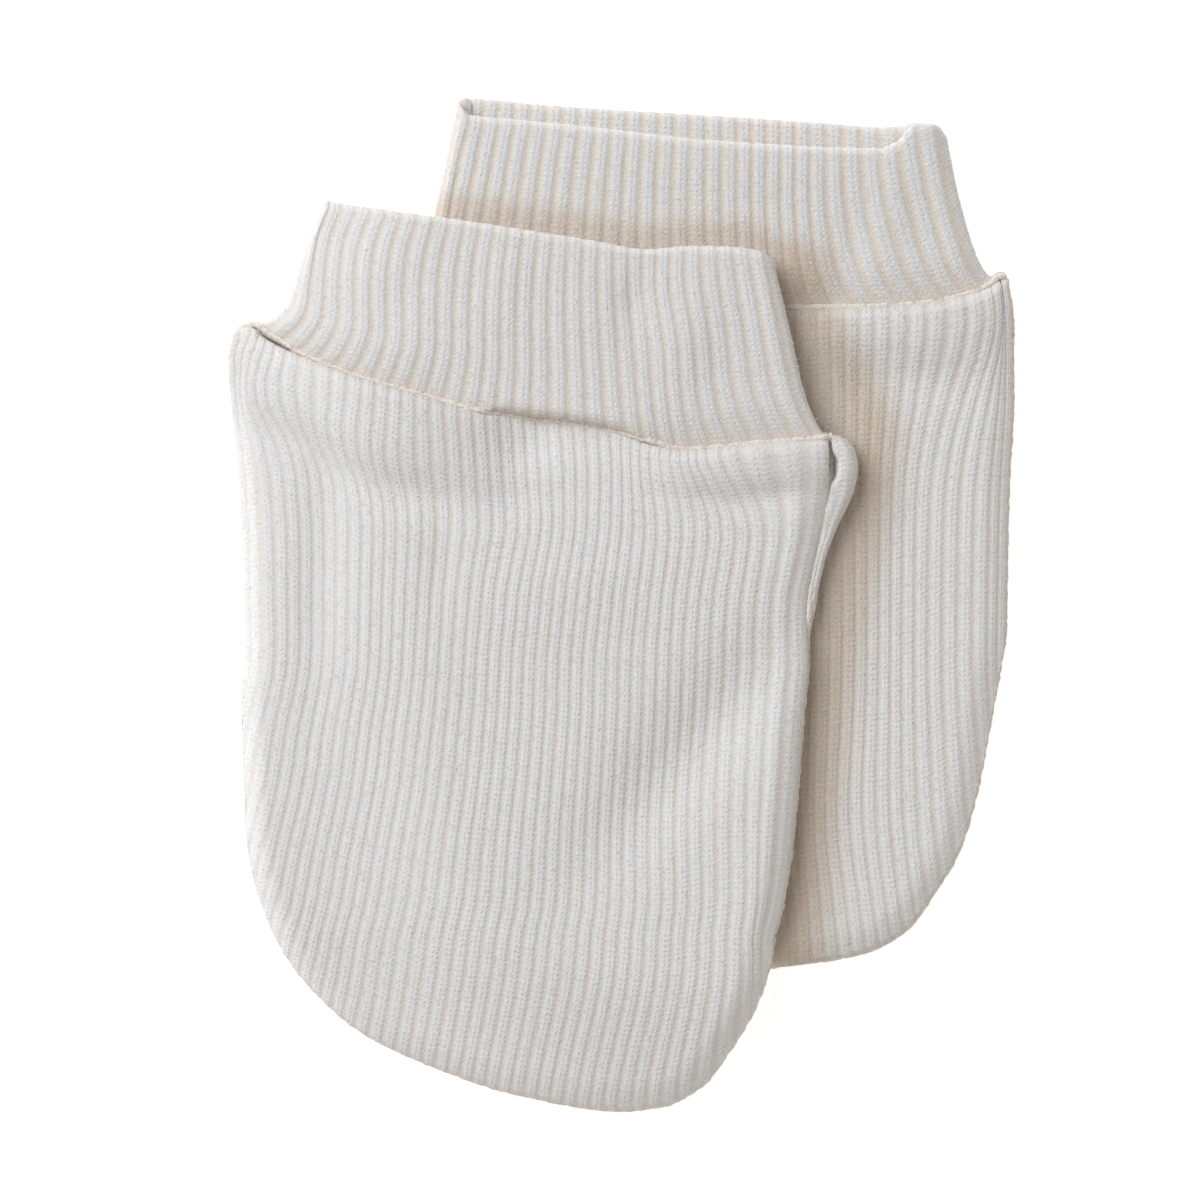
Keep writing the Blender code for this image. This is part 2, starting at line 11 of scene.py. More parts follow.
import bmesh
import bpy
import numpy as np
from bpy.props import FloatProperty, FloatVectorProperty, IntProperty, PointerProperty
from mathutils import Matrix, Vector


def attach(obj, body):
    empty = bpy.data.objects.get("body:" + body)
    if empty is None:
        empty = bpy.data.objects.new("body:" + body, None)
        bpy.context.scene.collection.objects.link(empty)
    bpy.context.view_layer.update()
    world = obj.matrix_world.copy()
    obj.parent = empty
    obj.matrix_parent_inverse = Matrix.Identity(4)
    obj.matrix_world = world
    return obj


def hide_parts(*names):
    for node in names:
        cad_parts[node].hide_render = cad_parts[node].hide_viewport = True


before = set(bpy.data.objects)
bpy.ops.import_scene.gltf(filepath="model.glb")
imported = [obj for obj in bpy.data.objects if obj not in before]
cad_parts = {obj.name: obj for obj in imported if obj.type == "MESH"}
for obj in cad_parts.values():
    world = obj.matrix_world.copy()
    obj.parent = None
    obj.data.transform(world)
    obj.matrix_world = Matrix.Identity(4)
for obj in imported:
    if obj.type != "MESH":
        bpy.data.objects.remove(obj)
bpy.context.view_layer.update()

bl_info = {
    "name": "Baby mittens in rib knit",
    "version": (1, 0, 0),
    "blender": (4, 5, 0),
    "location": "3D View > Sidebar > Mittens",
    "description": "Makes a pair of baby mittens in rib knit, laid flat one over the other",
    "category": "Object",
}

MM = 0.001

# The cut, the same for both mittens
PANEL_RIBS = 45
CUFF_RIBS = 32  # on one face of the cuff when it lies flat
PLY = 1.1  # one thickness of the knit
CUFF_WALL = 2.3  # the cuff strip, folded double
CUFF_HOLLOW = 0.4  # between the two faces of a flat cuff
SEAM_GAP = 0.3

# How the cloth lies
LINE_SPANS = {"seam": (10.0, 60.0), "tip": (-80.0, 0.0)}  # where these lines across a mitten lie along Y
REST = PLY + SEAM_GAP + PLY / 2  # middle of the top panel's wall at its sewn edge
TUCK_RADIUS = 1.3  # of the roll where the body puffs over the cuff seam
PUFF_POWER = 2.3  # how suddenly that puff ends down the body
EDGE_LEFT = 2.8  # width of the rounding along a panel's left edge
EDGE_RIGHT = 4.2  # and along its right one
RAMP_BODY = 30.0  # the upper mitten comes down to the surface over this width
RAMP_CUFF = 27.0
COVERED_BODY = 5.2  # height of the lower mitten under the upper one, with its clearance
COVERED_CUFF = 5.7
BUILT_RIB_HEIGHT = 0.4
OVERHANG = 0.35  # of the top panel's rounded edge past its seam
SLIT = (17.0, 22.0)  # where the upper mitten's right seam stands open
BODY_SWAY = 0.05  # sideways sway of a rib, in ribs
CUFF_SWAY = 0.04
SWELL = 0.08  # change of a rib's height along it, as a share
FULL_PITCH = 1.4  # ribs that are bunched closer than this stand lower
WIDE_PITCH = (2.0, 2.8)  # and those that are pulled wider than this stand higher
WIDE_GAIN = 0.6  # by up to this share
TUCKED_RIBS = 0.45  # share of their height that ribs keep where a body is tucked in at its cuff seam
SEAM_DEPTH = 0.25  # of the sewing, down in its groove
SEAM_BACK = 0.4  # how far the sewing lies in under the body's roll
SEAM_END = 0.004  # how far in from the sides it ends, as a share of the width
EDGE_SEWING = 0.1  # how far outside the line of the body's edge that edge's sewing lies
CUFF_LAP = 0.45  # how far the cuff's end reaches in under the body's roll
WALE = 0.32  # width of each of the two columns of stitches on a rib, in ribs
SEAM_SHADE_PAINT_REACH = 1.3  # reach of the warm shade painted beside a seam, between the layers
SEAM_SHADE_PAINT_SHARE = 0.45  # and its strength
SHADOW_PAINT_REACH = 7.5  # reach of the warm shadow painted beside the upper mitten
SHADOW_PAINT_BEHIND = 1.8  # how much shorter that reach is above its cuff
CUFF_BULGE = 1.8  # rounding of the cuff's lower edge where it stands over the body
FLUSH_CREST = 4.0  # a body that puffs up less than this lets the cuff's edge stand over it
PINCH_REACH = 3.5  # how far up the cuff its seam pinches it
INSIDE_RIBS = 0.3  # share of their height that ribs keep low down inside a cuff; twice that near its fold
FOLD_FLATTENS = 0.6  # share of their height that ribs lose up to the top fold
CUFF_ACROSS = 80.0  # about a flat cuff's width, by which its points are spaced
PANEL_INSET = 0.35  # of the under panel from the sides and tip
LEAST_STRIP = 0.9  # least width of the edge that curls up at the right seam
SLIT_FOOT = 0.12  # share of that edge's width where it starts to rise in the slit
CURL_CREST = 0.45  # and from where it rounds down again
STRIP_CURL = 0.35  # of the curled edge's height that its underside rises
STRIP_WALES = 0.14  # height of the edge's two wales

# The yarn
BODY_STITCHES = 0.00016  # depth of the stitches' relief, in metres
CUFF_STITCHES = 0.00018
FURROW_STARTS = 0.45  # from the middle of a rib, in ribs
CROWN_ENDS = 0.26
CROWN_SPARED = 0.12  # share of the painted warm shade that a crown is spared
RELIEF = {"stitch": 0.13, "fibre": 0.7, "strands": 0.5, "wale": 0.28}  # what makes up the relief
SHADE = {"speckle": 0.9, "stitch": 0.08, "cloudy": 0.2, "wale": 0.12, "strands": 0.8}  # and the hollows' colour: random speckle of tone, with painted shade in the hollows of the stitches and between the wales
CHEVRON_SLANT = 3.0  # in stitches, over a rib's width
PURL_BARS = 0.4  # strength of the bars in the furrows beside that of the chevrons
RAGGED = 0.5  # unevenness of the stitches, in stitches
RAGGED_SCALE = 900.0  # and its fineness, per metre
CLOUD_SCALE = 60.0  # slow changes of tone over the cloth
YARN_SCALE = 1500.0  # changes of tone along a loose yarn
STRANDS_ACROSS = 9.0  # strands of the yarn on a rib
STRANDS_ALONG = 1.3
NAP_FACES_UP = 0.1  # least upward part of the normal where a fibre grows
NAP_CLEAR = 1.8  # height above the floor where it starts, in fibre lengths
SOFT_YARN = {"Roughness": 0.9, "Specular IOR Level": 0.15, "Sheen Weight": 0.25, "Sheen Roughness": 0.6}
YARN_DEPTH = {"Subsurface Weight": 0.35, "Subsurface Radius": (1.0, 0.7, 0.5), "Subsurface Scale": 0.0006}

# The stage, in metres
CAMERA_OVER = (-0.00294, 0.00029)
WINDOW_PLACE = (-0.75, 0.60, 0.98)
WINDOW_SIZE = 1.2
WINDOW_COLOUR = (0.92, 1.0, 1.12)
ROOM_COLOUR = (1.02, 1.0, 0.97, 1.0)
FLOOR_COLOUR = (0.93, 0.92, 0.90)
FLOOR_DEPTH = -0.0002


def table(columns, *rows):
    """A short table, as one array for each named column."""
    return dict(zip(columns.split(), np.array(rows, float).T))


# sides: where the two side seams run, how far the under panel reaches past the right one (strip), and how
#        high its edge curls up there (lip)
# seam: the cuff seam from left to right, the height of the body's puff behind it (crest), how far that
#       puff rolls over (roll, degrees), how far the seam pinches the cuff (dip), and how far down the body
#       the puff dies away (reach)
# tip: the rounded fingertip edge
# cuff_sides: the cuff's left and right folds, from its seam (0) to its top fold (1)
# cuff_top: the top fold of the cuff's upper and under layers
# folds, cuff_folds: ridges and troughs in the top panel and the cuff: centre, direction of the fold in
#       degrees, length, width, height
# spacing: how far across the panel a rib lies, for ribs counted from the left
# drags, cuff_drags: where the ribs are pulled sideways: centre, reach across and along, distance
UPPER = dict(
    sides=table(
        "y left right strip lip",
        (40, -55.6, 29.8, 1.2, 1.5),
        (36, -57.1, 30.2, 1.6, 1.5),
        (30, -56.7, 30.4, 0.8, 1.5),
        (24.6, -56.1, 30.3, 1.2, 1),
        (24.1, -56, 30.3, 2.5, 1.9),
        (23.2, -55.9, 30.3, 3.5, 2.5),
        (21.6, -55.8, 30.4, 4.15, 2.9),
        (19.4, -55.6, 30.4, 4.45, 3),
        (16.5, -55.4, 30.2, 4.1, 2.7),
        (13.5, -55.2, 29.8, 3.3, 2.3),
        (10.9, -55, 29.4, 2.4, 1.9),
        (6, -54.8, 28.3, 1.7, 1.5),
        (0, -54.7, 27.2, 1.6, 1.2),
        (-3, -54.6, 27.1, 1.1, 0.7),
        (-6, -54.5, 27.2, 0.4, 0.2),
        (-9, -54.6, 27.3, -0.35, 0),
        (-14, -55.6, 26.8, -0.35, 0),
        (-18, -56.6, 26.4, -0.35, 0),
        (-26, -57.9, 25.8, -0.35, 0),
        (-38, -60.8, 24.6, -0.35, 0),
        (-44, -62, 23.6, -0.35, 0),
        (-50, -63.6, 22.4, -0.35, 0),
        (-75, -69, 22.4, -0.35, 0),
    ),
    seam=table(
        "x y crest roll dip reach",
        (-57.2, 37.4, 3.4, 100, 1.2, 8),
        (-55.8, 40.2, 4.5, 140, 1.2, 8.5),
        (-53.6, 40.9, 5.3, 145, 1.2, 9),
        (-51.4, 39.6, 5.8, 145, 1.2, 10),
        (-47, 37, 6.4, 145, 1.2, 11),
        (-39.5, 33.8, 6.6, 145, 1.2, 12),
        (-34, 32.1, 6.3, 135, 1.2, 12.5),
        (-28, 30.5, 5.8, 120, 1, 12.5),
        (-24, 29.3, 5.2, 90, 0.6, 12.5),
        (-20, 28.4, 4.1, 55, 0.2, 12),
        (-16, 27.8, 2.7, 30, 0.1, 10),
        (-12, 27.2, 2.1, 15, 0, 7),
        (-9, 26.8, 2.5, 15, 0, 6),
        (-1.5, 25.6, 3, 30, 0, 6),
        (4.5, 24, 4, 75, 0.5, 5.5),
        (9, 22.8, 5, 105, 1, 5),
        (15, 23.2, 5.5, 125, 1.2, 5),
        (21, 23.8, 5.4, 120, 1.2, 5),
        (27, 24.2, 4.9, 135, 1, 5),
        (31, 24.6, 3.9, 120, 0.8, 5),
    ),
    tip=table(
        "x y",
        (-55.2, -13), (-54.9, -25), (-54.5, -34), (-53.7, -39.5), (-51.8, -45.4), (-49.2, -51),
        (-44.6, -57), (-37.6, -63), (-29, -67.2), (-14, -72.2), (0, -74.3), (6, -73.7), (11.5, -71),
        (16.5, -64.5), (19.6, -59), (21.4, -54), (22.3, -49),
    ),
    cuff_sides=table(
        "v left right",
        (0, -53.4, 30), (0.1, -51.6, 28.6), (0.3, -48.8, 26.8), (0.5, -47.5, 25.7),
        (0.8, -45.3, 24), (1, -43.6, 22.8),
    ),
    cuff_top=table(
        "x upper under",
        (-44, 59, 58.9), (-40, 58.2, 57.4), (-34, 57.3, 56.5), (-18, 55, 54.2), (-4, 52.8, 52),
        (4, 51.5, 50.8), (10, 52, 51.2), (16, 51.9, 51.2), (20, 51.4, 50.8), (23, 49.6, 49.5),
    ),
    folds=table(
        "x y turn length width height",
        (-46, 25, -33, 9, 3.4, -2.1),
        (-31, 17, -14, 11, 4, -2.1),
        (-13, 15.5, 2, 7, 2.6, -0.4),
        (-14, 20.5, -6, 7, 2.6, 0.3),
        (22, 16.5, 3, 7, 2.6, -0.9),
        (8, 16, -8, 7, 2.4, -0.5),
        (-50, -12, 88, 45, 12, 1.5),
        (-50, 4, 88, 22, 3.8, 0.3),
        (-44, 4, 88, 20, 3.6, -0.9),
        (-18, 23.5, 0, 6.5, 2.6, -1.2),
        (-26, 6, 85, 9, 2.5, -0.35),
        (12, -20, 50, 24, 6.5, -1.9),
        (-14, -64, -16, 34, 9, -0.8),
        (11, 17.8, -42, 6, 1.6, -0.5),
        (-6, 2, 10, 14, 6, 0.5),
        (20, -42, 75, 14, 4, 0.4),
    ),
    spacing=table(
        "rib share",
        (0, 0), (1, 0.012), (4, 0.075), (10, 0.205), (14, 0.287), (20, 0.424), (28, 0.594),
        (36, 0.767), (40, 0.861), (43, 0.941), (45, 1),
    ),
    drags=table(
        "x y across along shift",
        (20, 22.5, 10, 8, -6),
        (6, 19, 5, 8, -1.1),
        (-48, 31, 7, 7, -3.2),
        (-40, 24.5, 5, 5, -1.6),
        (-33.5, 21, 5, 5, -1.2),
        (-16, 11, 10, 6, 0.8),
        (-8, -9, 30, 6, -1.1),
        (5, -52, 30, 16, 3.4),
    ),
    cuff_drags=table(
        "x v across along shift",
        (-36, 0.85, 14, 0.5, -2.9),
        (-10, 0.6, 14, 0.9, -1.7),
        (10, 0.85, 7, 0.25, -1.3),
        (14, 0.2, 9, 0.5, -1.9),
    ),
    cuff_folds=table(
        "x y turn length width height",
        (2, 43.5, 86, 5, 2.4, -0.6),
        (9.5, 38, 80, 8, 4, 0.6),
        (-33, 43, 70, 9, 4, -0.4),
        (-17, 46, 84, 7, 3, 0.3),
    ),
    puff=(2.1, 2.1),
    mouth=0.4,
)
LOWER = dict(
    sides=table(
        "y left right strip lip",
        (50, -28.4, 55.4, -0.35, 0),
        (47, -30.2, 56.6, -0.35, 0),
        (40, -30.4, 57.4, -0.35, 0),
        (30, -29.9, 57.4, -0.35, 0),
        (15, -29, 56.7, -0.35, 0),
        (0, -28.4, 56.4, -0.35, 0),
        (-8, -28, 56.3, -0.35, 0),
        (-25, -29, 57.2, -0.35, 0),
        (-54, -32, 60, -0.35, 0),
    ),
    seam=table(
        "x y crest roll dip reach",
        (-30.5, 47.5, 2.4, 10, 1.2, 7),
        (-28.5, 49.6, 2.8, 30, 1.2, 7),
        (-22, 47.1, 3.3, 60, 1.2, 7),
        (-8, 44.9, 3.3, 60, 1.2, 7),
        (22, 43.8, 3.5, 65, 1.2, 7),
        (29, 43.7, 4.8, 115, 1.2, 6),
        (36, 43.8, 5.4, 140, 1.2, 6),
        (44, 44.3, 5.5, 145, 1.2, 7),
        (50, 45.4, 5.1, 130, 1.2, 8),
        (54, 46.9, 4.6, 140, 1.2, 8),
        (56, 48.2, 3.9, 125, 1.2, 8),
        (57.5, 46.4, 3.2, 90, 1.2, 8),
    ),
    tip=table(
        "x y",
        (-28, -8), (-26.2, -18), (-24.1, -27.5), (-21.4, -36.5), (-18, -42.4), (-13.6, -47.8),
        (-7, -51.4), (2, -53.4), (14, -54), (26, -52.9), (35.5, -51.3), (42, -47.8), (46, -42.4),
        (49.5, -36.5), (52.2, -27.5), (54.2, -17), (56.2, -6),
    ),
    cuff_sides=table(
        "v left right",
        (0, -28.4, 55.2), (0.1, -27.9, 53.6), (0.25, -27.5, 52.2), (0.4, -26.9, 51.2),
        (0.7, -25.5, 49.5), (1, -24, 48.2),
    ),
    cuff_top=table(
        "x upper under",
        (-24, 73.9, 74), (-22, 71.4, 74), (-14, 70.6, 73.3), (-5, 69.7, 72.6), (12, 67.8, 71.6),
        (30, 66.7, 70.4), (38, 66.5, 69.8), (40.5, 67.5, 69.9), (43.4, 70.1, 70.4), (46, 70.1, 70.2),
        (48.2, 68.4, 68.4),
    ),
    folds=table(
        "x y turn length width height",
        (44, 33, 0, 10, 4, -0.5),
        (36, 10, 80, 22, 4, 0.3),
    ),
    spacing=table(
        "rib share",
        (0, 0), (32, 0.7225), (35, 0.785), (38, 0.846), (41, 0.92), (43, 0.97), (45, 1),
    ),
    drags=table(
        "x y across along shift",
        (47.5, 43, 7.5, 15, 5.4),
        (35, -32, 8, 14, -1.5),
    ),
    cuff_drags=table(
        "x v across along shift",
        (-14, 0.6, 18, 2, -2),
        (12, 0.6, 14, 2, -1.4),
        (33, 0.3, 12, 1.2, -3.6),
    ),
    cuff_folds=table(
        "x y turn length width height",
        (40, 58, 78, 8, 3, 0.3),
        (33, 50, 82, 6, 3, -0.4),
    ),
    puff=(1.8, 1.5),
    mouth=1.0,
)
# The upper mitten's right edge, where the lower one comes out from under it
SHELTER = table("y x", (60, 22), (44, 25), (24, 34), (10, 32), (-10, 28), (-50, 23))


# ---------------------------------------------------------------- lines and heights


def curve(knots, value, at):
    """A smooth line through a table's `value` over its first column, level past its ends."""
    x, y = next(iter(knots.values())), knots[value]
    order = np.argsort(x)
    x, y = x[order], y[order]
    step = np.diff(x)
    slope = np.diff(y) / step
    before, after = slope[:-1], slope[1:]
    same = before * after > 0
    mean = np.where(same, 2 * before * after / np.where(same, before + after, 1.0), 0.0)
    tangent = np.concatenate([slope[:1], mean, slope[-1:]])
    at = np.clip(at, x[0], x[-1])
    i = np.clip(np.searchsorted(x, at) - 1, 0, len(x) - 2)
    k = (at - x[i]) / step[i]
    return (
        y[i] * (1 + 2 * k) * (1 - k) ** 2
        + tangent[i] * step[i] * k * (1 - k) ** 2
        + y[i + 1] * k * k * (3 - 2 * k)
        - tangent[i + 1] * step[i] * k * k * (1 - k)
    )


def ease(start, end, at):
    """0 before start and 1 past end, with a smooth step between them."""
    k = np.clip((at - start) / (end - start), 0.0, 1.0)
    return k * k * (3 - 2 * k)


def fold_line(lay):
    """The whole edge of a mitten's body from left to right, as points, but for its cuff seam."""
    tip = lay["tip"]
    x = np.linspace(tip["x"][0], tip["x"][-1], 120)
    arc = np.stack([x, curve(tip, "y", x)], 1)

    def side(which, end):
        y = np.linspace(lay["sides"]["y"][0] + 3, end, 40)[:-1]
        return np.stack([curve(lay["sides"], which, y), y], 1)

    return np.concatenate([side("left", arc[0, 1]), arc, side("right", arc[-1, 1])[::-1]])


def distance(x, y, line):
    """How far each point lies from a line of points."""
    nearest = np.full(x.shape, np.inf)
    for (ax, ay), (bx, by) in zip(line[:-1], line[1:]):
        run_x, run_y = bx - ax, by - ay
        length = max(run_x**2 + run_y**2, 1e-9)
        k = np.clip(((x - ax) * run_x + (y - ay) * run_y) / length, 0, 1)
        nearest = np.minimum(nearest, (x - ax - k * run_x) ** 2 + (y - ay - k * run_y) ** 2)
    return np.sqrt(nearest)


def pulled(drags, x, along, share):
    """How far the ribs are pulled sideways, fading out towards the two edges of the cloth."""
    moved = np.zeros_like(x)
    for cx, at, across, reach, shift in zip(*drags.values()):
        moved += shift * np.exp(-(((x - cx) / across) ** 2) - ((along - at) / reach) ** 2)
    return moved * ease(0, 0.07, share) * ease(0, 0.07, 1 - share)


def column(lay, u, y):
    """The x at which the rib line u (0 left, 1 right) crosses y."""
    left = curve(lay["sides"], "left", y)
    right = curve(lay["sides"], "right", y)
    x = left + (right - left) * curve(lay["spacing"], "share", u * PANEL_RIBS)
    return x + pulled(lay["drags"], x, y, u)


def meet(lay, u, line):
    """The y at which each rib line meets the cuff seam or the edge of the tip."""
    low, high = (np.full(u.shape, end) for end in LINE_SPANS[line])
    for _ in range(40):
        y = (low + high) / 2
        above = y > curve(lay[line], "y", column(lay, u, y))
        high = np.where(above, y, high)
        low = np.where(above, low, y)
    return (low + high) / 2


def folds_at(folds, x, y):
    """Height of all the ridges and troughs of a table."""
    z = np.zeros_like(x)
    for cx, cy, turn, length, width, height in zip(*folds.values()):
        c, s = np.cos(np.radians(turn)), np.sin(np.radians(turn))
        along = (x - cx) * c + (y - cy) * s
        across = (y - cy) * c - (x - cx) * s
        z += height * np.exp(-((along / length) ** 2) - (across / width) ** 2)
    return z


def lift(x, y):
    """How high the lower mitten holds the upper one at each place."""
    inside = (x > curve(LOWER["sides"], "left", y)) & (y > curve(LOWER["tip"], "y", x))
    away = np.where(inside, 0.0, distance(x, y, fold_line(LOWER)))
    up = ease(29, 42, y)
    height = COVERED_BODY + (COVERED_CUFF - COVERED_BODY) * up
    return height * (1 - ease(0, RAMP_BODY + (RAMP_CUFF - RAMP_BODY) * up, away))


def raised(points, on_top):
    """A mitten's points, lifted where it lies over the other one."""
    if on_top:
        points = points.copy()
        points[..., 2] += lift(points[..., 0], points[..., 1])
    return points


def sheltered(lay, on_top, x, y):
    """How much painted shade each point of a mitten gets, 0 to 1: warm shade painted beside a seam, and a
    shadow painted beside the other mitten and above its cuff.
    """
    seam = SEAM_SHADE_PAINT_SHARE * np.exp(-(((y - curve(lay["seam"], "y", x)) / SEAM_SHADE_PAINT_REACH) ** 2))
    if on_top:
        return seam
    beside = np.maximum(0, x - curve(SHELTER, "x", y))
    behind = np.maximum(0, y - curve(UPPER["cuff_top"], "upper", x))
    away = np.hypot(beside, SHADOW_PAINT_BEHIND * behind)
    near = np.exp(-((away / SHADOW_PAINT_REACH) ** 4)) * (0.8 + 0.2 * ease(0, 3, beside))
    return np.maximum(seam, near)


def grid_normals(points):
    """Unit normals of a grid of points, from its neighbours along both ways."""
    n = np.cross(np.gradient(points, axis=0), np.gradient(points, axis=1))
    return n / np.maximum(np.linalg.norm(n, axis=-1, keepdims=True), 1e-12)


def wander(ribs, phase, seed):
    """Where the slow sway and the slow swell of each rib start, so that no two are quite alike."""
    rng = np.random.default_rng(seed)
    start = rng.uniform(0, 2 * np.pi, (2, ribs + 1))
    i = np.clip(np.floor(phase).astype(int), 0, ribs)
    return start[0][i], start[1][i]


def rib_profile(phase, width):
    """Height across a rib, from 0 in the furrow beside it to 1 on its rounded crown."""
    across = np.abs(phase - np.floor(phase) - 0.5) / (width / 2)
    return 1 - ease(0.35, 1.0, across)


# ---------------------------------------------------------------- cloth meshes


def placed(name, data):
    """A new object in the scene."""
    thing = bpy.data.objects.new(name, data)
    bpy.context.scene.collection.objects.link(thing)
    return thing


class Cloth:
    """Points, faces and knit coordinates of one closed piece, put together from grids and strips."""

    def __init__(self, lay, on_top):
        self.lay = lay
        self.on_top = on_top
        self.points = []
        self.faces = []
        self.knit = []

    def grid(self, points, rib, course, closed=False):
        """Faces over a grid, its last column joined to its first if it is closed."""
        rows, columns = points.shape[:2]
        first = len(self.points)
        self.points.extend(raised(points, self.on_top).reshape(-1, 3).tolist())
        index = first + np.arange(rows * columns).reshape(rows, columns)
        if closed:
            index = np.concatenate([index, index[:, :1]], 1)
        uv = np.stack(np.broadcast_arrays(rib, course), -1)
        low, high = slice(None, -1), slice(1, None)
        corners = ((low, low), (low, high), (high, high), (high, low))
        faces = np.stack([index[c] for c in corners], -1).reshape(-1, 4)
        self.faces.extend(faces.tolist())
        self.knit.append(np.stack([uv[c] for c in corners], 2).reshape(-1, 2))
        return index

    def strip(self, one, other):
        """Triangles between two lines of points that run the same way."""
        points = np.array(self.points)
        one, other = list(one), list(other)

        def shares(line):
            run = np.linalg.norm(np.diff(points[line], axis=0), axis=1)
            return np.concatenate([[0], np.cumsum(run)]) / run.sum()

        a, b = shares(one), shares(other)
        i = j = 0
        while i < len(one) - 1 or j < len(other) - 1:
            if j == len(other) - 1 or (i < len(one) - 1 and a[i + 1] <= b[j + 1]):
                self.faces.append((one[i], one[i + 1], other[j]))
                i += 1
            else:
                self.faces.append((one[i], other[j + 1], other[j]))
                j += 1
        self.knit.append(np.zeros((3 * (i + j), 2)))

    def close(self, outer, inner):
        """Joins the borders of an outer and an inner grid, all round."""
        for border in (np.s_[0], np.s_[-1], np.s_[:, 0], np.s_[:, -1]):
            self.strip(outer[border], inner[border])

    def make(self, name, material):
        """The piece as an object in metres, with its faces turned outwards."""
        mesh = bpy.data.meshes.new(name)
        points = np.array(self.points)
        mesh.from_pydata((points * MM).tolist(), [], [[int(i) for i in face] for face in self.faces])
        # painted shade on each point: warm shade along the seams, and a shadow painted beside the upper
        # mitten and above its cuff
        shade_paint = mesh.attributes.new("sheltered", "FLOAT", "POINT")
        share = sheltered(self.lay, self.on_top, *points[:, :2].T)
        shade_paint.data.foreach_set("value", share.astype(np.float32))
        layer = mesh.uv_layers.new(name="knit")
        layer.data.foreach_set("uv", np.concatenate(self.knit).astype(np.float32).ravel())
        work = bmesh.new()
        work.from_mesh(mesh)
        bmesh.ops.recalc_face_normals(work, faces=work.faces)
        if work.calc_volume(signed=True) < 0:
            bmesh.ops.reverse_faces(work, faces=work.faces)
        work.to_mesh(mesh)
        work.free()
        mesh.polygons.foreach_set("use_smooth", [True] * len(mesh.polygons))
        mesh.materials.append(material)
        return placed(name, mesh)


def run_lengths(points):
    """Distance along each column of a grid from its first row."""
    step = np.linalg.norm(np.diff(points, axis=0), axis=-1)
    return np.concatenate([np.zeros((1, points.shape[1])), np.cumsum(step, 0)])


def top_middle(lay, u, w):
    """The middle of a top panel's wall, on a grid of rows w and columns u.

    w runs from -1, where the panel is tucked in at the cuff seam, over the crest at 0, to the tip at 1.
    """
    seam_y = meet(lay, u, "seam")
    seam_x = column(lay, u, seam_y)
    crest = curve(lay["seam"], "crest", seam_x)
    roll = np.radians(curve(lay["seam"], "roll", seam_x))
    tip_y = meet(lay, u, "tip")
    reach = TUCK_RADIUS + PLY / 2 + BUILT_RIB_HEIGHT
    nose = reach * np.sin(np.minimum(roll, np.pi / 2)) + SEAM_GAP / 2
    start = seam_y - nose
    w = w[:, None]
    turn = np.minimum(w, 0) * -roll
    y = start + (tip_y - start) * np.maximum(w, 0)
    x = column(lay, np.broadcast_to(u, y.shape), y)
    rounding = EDGE_LEFT + (EDGE_RIGHT - EDGE_LEFT) * u
    edge = np.clip(distance(x, y, fold_line(lay)) / rounding, 0, 1)
    covered, open_ = lay["puff"]
    puff = covered + (open_ - covered) * ease(-2, 7, x - curve(SHELTER, "x", y))
    z = REST + (puff + folds_at(lay["folds"], x, y)) * np.sin(edge * np.pi / 2)
    reach = curve(lay["seam"], "reach", seam_x)
    z = z + (crest - z) * np.exp(-((np.maximum(start - y, 0) / reach) ** PUFF_POWER))
    y = y + TUCK_RADIUS * np.sin(turn)
    z = z - TUCK_RADIUS * (1 - np.cos(turn))
    return np.stack([x, y, z], -1)


def body_rows(count):
    """Row positions from the cuff seam (0) to the tip (1), closer together near the seam."""
    k = np.linspace(0, 1, count)
    return 0.6 * k + 0.4 * k * k


def panel_grid(lay, course, columns, roll_rows, rows):
    """A top panel's grid: its u and w, the middle of its wall, its outward normals and its courses."""
    u = np.linspace(0, 1, columns + 1)
    w = np.concatenate([np.linspace(-1, 0, roll_rows + 1)[:-1], body_rows(rows)])
    middle = top_middle(lay, u, w)
    normal = grid_normals(middle)
    return u, w, middle, normal * np.sign(normal[w > 0, :, 2].mean()), run_lengths(middle) * MM / course


def make_top_panel(lay, name, on_top, cut, material, seed):
    """The panel that shows, with its ribs in the outer face and a plain inside."""
    steps = cut.steps_per_rib
    u, w, middle, normal, course = panel_grid(lay, cut.course, PANEL_RIBS * steps, 12, cut.panel_rows)
    rib = np.broadcast_to(u * PANEL_RIBS, course.shape)
    sway, swell = wander(PANEL_RIBS, rib, seed)
    phase = rib + BODY_SWAY * np.sin(course / 19 + sway)
    height = rib_profile(phase, cut.rib_width) * (1 + SWELL * np.sin(course / 13 + swell))
    height *= TUCKED_RIBS + (1 - TUCKED_RIBS) * ease(-0.9, 0.05, w)[:, None]
    pitch = np.abs(np.gradient(middle[..., 0], axis=1)) * steps
    height *= np.clip(pitch / FULL_PITCH, 0.2, 1) * (1 + WIDE_GAIN * ease(*WIDE_PITCH, pitch))
    outer = middle + normal * (PLY / 2 + cut.rib_height / MM * height)[..., None]
    cloth = Cloth(lay, on_top)
    outer_grid = cloth.grid(outer, rib, course)
    u, w, middle, normal, course = panel_grid(lay, cut.course, PANEL_RIBS, 8, 60)
    cloth.close(outer_grid, cloth.grid(middle - normal * PLY / 2, u * PANEL_RIBS, course))
    return cloth.make(name, material)


def slit_at(y):
    """1 where the under panel's curled edge stands open from the top panel, else 0."""
    return ease(SLIT[0], SLIT[0] + 1.5, y) * ease(-SLIT[1], 1 - SLIT[1], -y)


